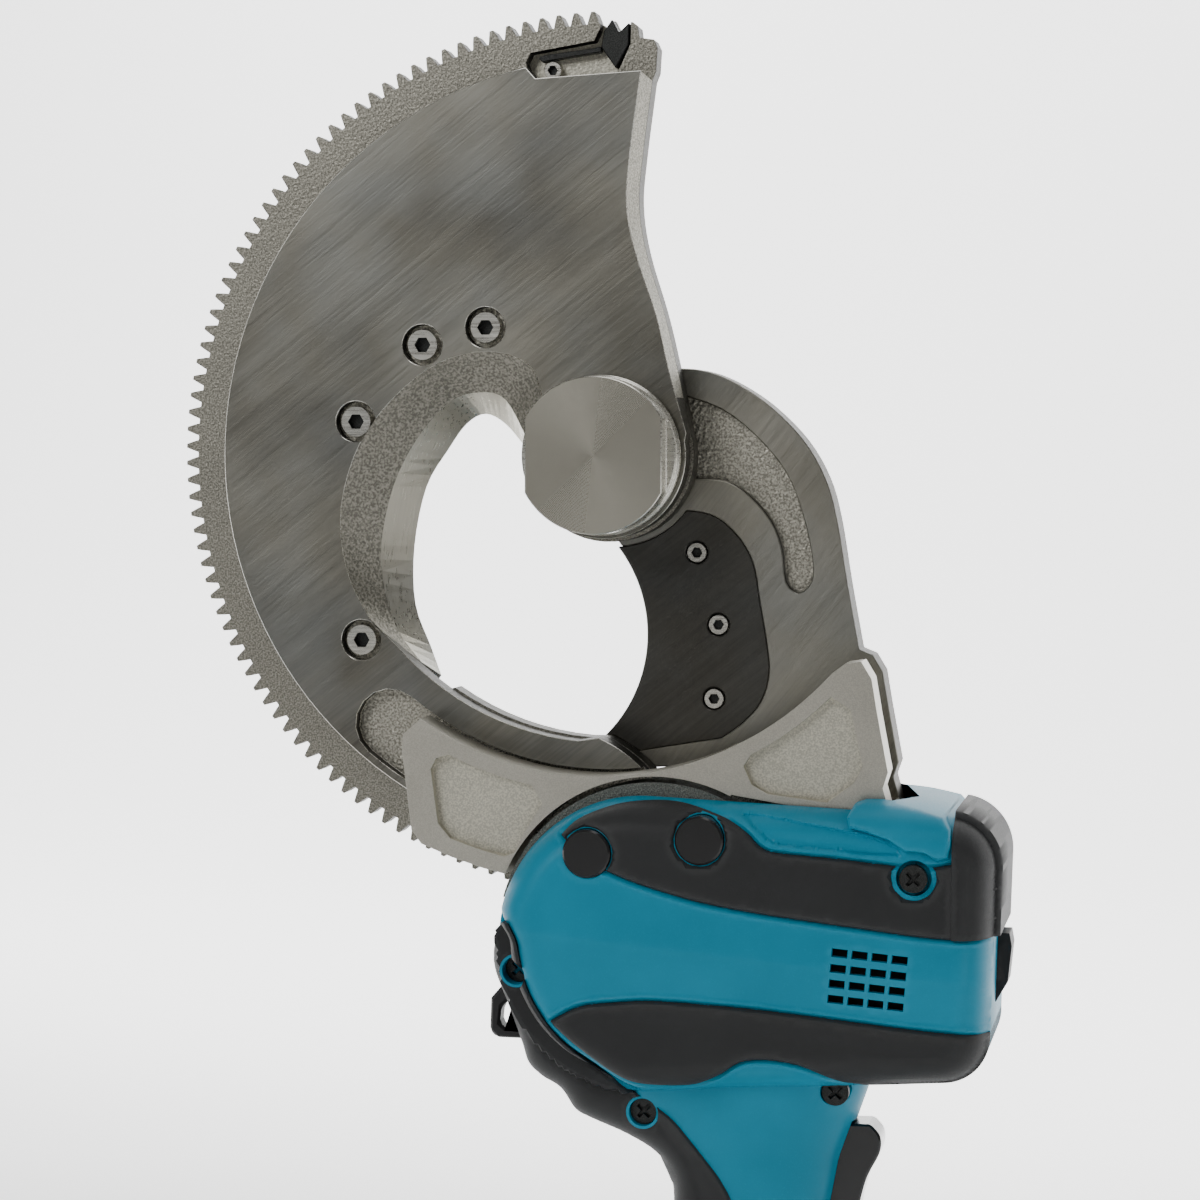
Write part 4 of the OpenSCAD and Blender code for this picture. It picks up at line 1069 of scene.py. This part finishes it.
def repeat_tree(name, part):
    """Geometry nodes: put one part on every point of a mesh, realised and painted."""
    tree = bpy.data.node_groups.new(name, "GeometryNodeTree")
    face = tree.interface
    face.new_socket("Geometry", in_out="INPUT", socket_type="NodeSocketGeometry")
    size = face.new_socket("Size", in_out="INPUT", socket_type="NodeSocketFloat")
    size.default_value = 1.0
    finish = face.new_socket("Finish", in_out="INPUT", socket_type="NodeSocketMaterial")
    face.new_socket("Geometry", in_out="OUTPUT", socket_type="NodeSocketGeometry")
    start, end = tree.nodes.new("NodeGroupInput"), tree.nodes.new("NodeGroupOutput")
    source = tree.nodes.new("GeometryNodeObjectInfo")
    source.inputs["Object"].default_value = part
    place = tree.nodes.new("GeometryNodeInstanceOnPoints")
    real = tree.nodes.new("GeometryNodeRealizeInstances")
    paint = tree.nodes.new("GeometryNodeSetMaterial")
    link = tree.links.new
    link(start.outputs["Geometry"], place.inputs["Points"])
    link(source.outputs["Geometry"], place.inputs["Instance"])
    link(start.outputs["Size"], place.inputs["Scale"])
    link(place.outputs["Instances"], real.inputs["Geometry"])
    link(real.outputs["Geometry"], paint.inputs["Geometry"])
    link(start.outputs["Finish"], paint.inputs["Material"])
    link(paint.outputs["Geometry"], end.inputs["Geometry"])
    return tree, size.identifier, finish.identifier


def repeated(name, part_points, part_faces, places, material):
    """A plain mesh with the part repeated at every place, made by geometry nodes."""
    part_mesh = bpy.data.meshes.new(name + "_part")
    part_mesh.from_pydata([tuple(np.asarray(p) * MM) for p in part_points], [], [list(f) for f in part_faces])
    part = bpy.data.objects.new(name + "_part", part_mesh)
    tree, size, finish = repeat_tree(name + "_nodes", part)
    spots = bpy.data.meshes.new(name + "_spots")
    spots.from_pydata([tuple(p) for p in to_row(places)], [], [])

    def build(holder):
        nodes = holder.modifiers.new("repeat", "NODES")
        nodes.node_group = tree
        nodes[size] = 1.0
        nodes[finish] = MATERIALS[material]
    mesh = apply_modifiers(spots, build)
    bpy.data.objects.remove(part)
    return mesh


class CUTTER_OT_details(bpy.types.Operator):
    """Put a black plate behind each vent slot, as painted shade inside the vent, and repeat the battery's
    grip ribs
    """
    bl_idname = "cutter.details"
    bl_label = "Vent shade plates and ribs"

    def execute(self, context):
        # Black plates shut each vent slot from behind: painted shade, a dark sheet for the shadowed inside.
        mid = VENT_ALONG * 2.05 + VENT_DOWN * 1.1
        places = [((c + mid)[0], side * 27.0, (c + mid)[1]) for c in vent_corners() for side in (-1, 1)]
        points, faces = block((-2.6, -0.6, -1.8), (2.6, 0.6, 1.8))
        mesh = repeated("vent_baffles", points, faces, places, "black_plastic")
        finish_piece(mesh, "vent_baffles", "housing", "black_plastic")
        places = [(BATTERY_X + 18 + 5 * i, side * (BATTERY_W / 2 - 0.2), BATTERY_TOP - 17)
                  for i in range(7) for side in (-1, 1)]
        points, faces = block((-0.9, -0.7, -7), (0.9, 0.7, 7))
        mesh = broken_edges(repeated("battery_ribs", points, faces, places, "black_plastic"), 0.35 * MM)
        finish_piece(mesh, "battery_ribs", "battery", "black_plastic")
        return {"FINISHED"}


class CUTTER_OT_battery(bpy.types.Operator):
    """Round the battery's cases and the trigger"""
    bl_idname = "cutter.battery"
    bl_label = "Battery and trigger"

    def execute(self, context):
        for node, width in {"battery_lower_case": 1.6, "battery_upper_case": 1.0, "battery_latch": 0.8,
                            "trigger": 1.6, "reverse_lever": 0.9}.items():
            mesh = broken_edges(merged_copy(node), width * MM, 40)
            assign_faces(mesh, [SLOT_OF[node]], lambda centre, normal: 0)
            finish_piece(mesh, node + "_finish", BODY_OF[node], SLOT_OF[node], [node])
        return {"FINISHED"}


# ---------------------------------------------------------------- paint, stage
class CUTTER_OT_paint(bpy.types.Operator):
    """Make every material and put one on each CAD node that stays"""
    bl_idname = "cutter.paint"
    bl_label = "Materials"

    def execute(self, context):
        make_materials()
        special = {"gear_case_front": "case_alloy", "gear_case_middle": "case_alloy",
                   "gear_case_rear": "case_alloy"}
        for name, node in NODES.items():
            node.data.materials.clear()
            node.data.materials.append(MATERIALS[special.get(name, SLOT_OF[name])])
        return {"FINISHED"}


# name, place and target from the aim point in metres, size in metres, watts
LIGHTS = [("key", (-0.7, -1.1, 0.8), (0, 0, 0), (0.7, 0.7), 10),
          ("fill", (1.0, -0.9, 0.1), (0, 0, 0), (0.35, 1.2), 3),
          ("top", (0.1, 0.1, 1.3), (0, 0, 0), (1.2, 0.5), 3.5),
          ("back", (-0.3, 1.3, 0.6), (0, 2, 0), (2.0, 1.5), 30)]
SWEEP_START, SWEEP_R, SWEEP_TOP = 1.6, 0.9, 5.0
FLOOR_FRONT, FLOOR_HALF = -14.0, 9.0


def area_light(name, place, target, size, power):
    light = bpy.data.lights.new(name, "AREA")
    light.energy = power
    light.shape = "RECTANGLE"
    light.size, light.size_y = size
    lamp = bpy.data.objects.new(name, light)
    bpy.context.scene.collection.objects.link(lamp)
    lamp.location = place
    lamp.rotation_euler = (Vector(target) - Vector(place)).to_track_quat("-Z", "Y").to_euler()


class CUTTER_OT_stage(bpy.types.Operator):
    """Set the floor, the backdrop, the lights and the camera"""
    bl_idname = "cutter.stage"
    bl_label = "Stage"

    def execute(self, context):
        scene = context.scene
        stage = scene.cutter_stage
        profile = [(FLOOR_FRONT, 0.0), (SWEEP_START, 0.0)]
        profile += [(SWEEP_START + SWEEP_R * math.sin(t), SWEEP_R - SWEEP_R * math.cos(t))
                    for t in np.linspace(0.1, math.pi / 2, 14)]
        profile.append((SWEEP_START + SWEEP_R, SWEEP_TOP))
        points = [(x, y, z) for y, z in profile for x in (-FLOOR_HALF, FLOOR_HALF)]
        faces = [(2 * i, 2 * i + 1, 2 * i + 3, 2 * i + 2) for i in range(len(profile) - 1)]
        mesh = bpy.data.meshes.new("floor_sweep")
        mesh.from_pydata(points, [], faces)
        mesh.shade_smooth()
        paint = Paint("paper", Roughness=0.9)
        paint.set("Base Color", paint.mix(paint.noise(0.3) * 0.15, (0.93, 0.93, 0.93), (0.88, 0.88, 0.88)))
        _, along, _ = paint.parts()
        paint.set("Emission Color", paint.mix(paint.remap(along, -0.2, 0.7), (0, 0, 0), (1, 1, 1)))
        paint.set("Emission Strength", 1.5)
        mesh.materials.append(paint.material)
        floor = bpy.data.objects.new("floor_sweep", mesh)
        scene.collection.objects.link(floor)

        world = bpy.data.worlds.new("studio")
        world.use_nodes = True
        world.node_tree.nodes["Background"].inputs["Color"].default_value = (1, 0.98, 0.94, 1)
        world.node_tree.nodes["Background"].inputs["Strength"].default_value = 0.12
        scene.world = world
        aim = PIVOT + Vector((0, 0, -0.04))
        for name, offset, target, size, power in LIGHTS:
            area_light(name, aim + Vector(offset), aim + Vector(target), size, power)

        yaw, pitch = stage.yaw, stage.pitch
        right = Vector((math.cos(yaw), math.sin(yaw), 0))
        back = Vector((math.sin(yaw) * math.cos(pitch), -math.cos(yaw) * math.cos(pitch), math.sin(pitch)))
        up = back.cross(right)
        lens = bpy.data.cameras.new("camera")
        lens.lens = stage.lens
        lens.sensor_width = 36
        lens.clip_end = 50
        camera = bpy.data.objects.new("camera", lens)
        scene.collection.objects.link(camera)
        turn = Matrix((right, up, back)).transposed().to_4x4()
        camera.matrix_world = Matrix.Translation(
            PIVOT + back * stage.reach - right * 0.002393 - up * 0.03927) @ turn
        scene.camera = camera
        return {"FINISHED"}


OPERATORS = [CUTTER_OT_stage, CUTTER_OT_paint, CUTTER_OT_blade, CUTTER_OT_jaw, CUTTER_OT_hardware,
             CUTTER_OT_shell, CUTTER_OT_cushions, CUTTER_OT_palm, CUTTER_OT_battery, CUTTER_OT_details]


class CUTTER_PT_panel(bpy.types.Panel):
    """Buttons for each group of pieces"""
    bl_label = "Cable cutter"
    bl_idname = "CUTTER_PT_panel"
    bl_space_type = "VIEW_3D"
    bl_region_type = "UI"
    bl_category = "Cutter"

    def draw(self, context):
        for name, group in GROUPS.items():
            box = self.layout.box()
            for prop in group.__annotations__:
                box.prop(getattr(context.scene, name), prop)
        for operator in OPERATORS:
            self.layout.operator(operator.bl_idname)


def register():
    for name, group in GROUPS.items():
        bpy.utils.register_class(group)
        setattr(bpy.types.Scene, name, PointerProperty(type=group))
    for item in OPERATORS + [CUTTER_PT_panel]:
        bpy.utils.register_class(item)


def unregister():
    for item in reversed(OPERATORS + [CUTTER_PT_panel]):
        bpy.utils.unregister_class(item)
    for name, group in GROUPS.items():
        delattr(bpy.types.Scene, name)
        bpy.utils.unregister_class(group)


def main():
    register()
    for operator in OPERATORS:
        group, action = operator.bl_idname.split(".")
        getattr(getattr(bpy.ops, group), action)()


if __name__ == "__main__":
    main()
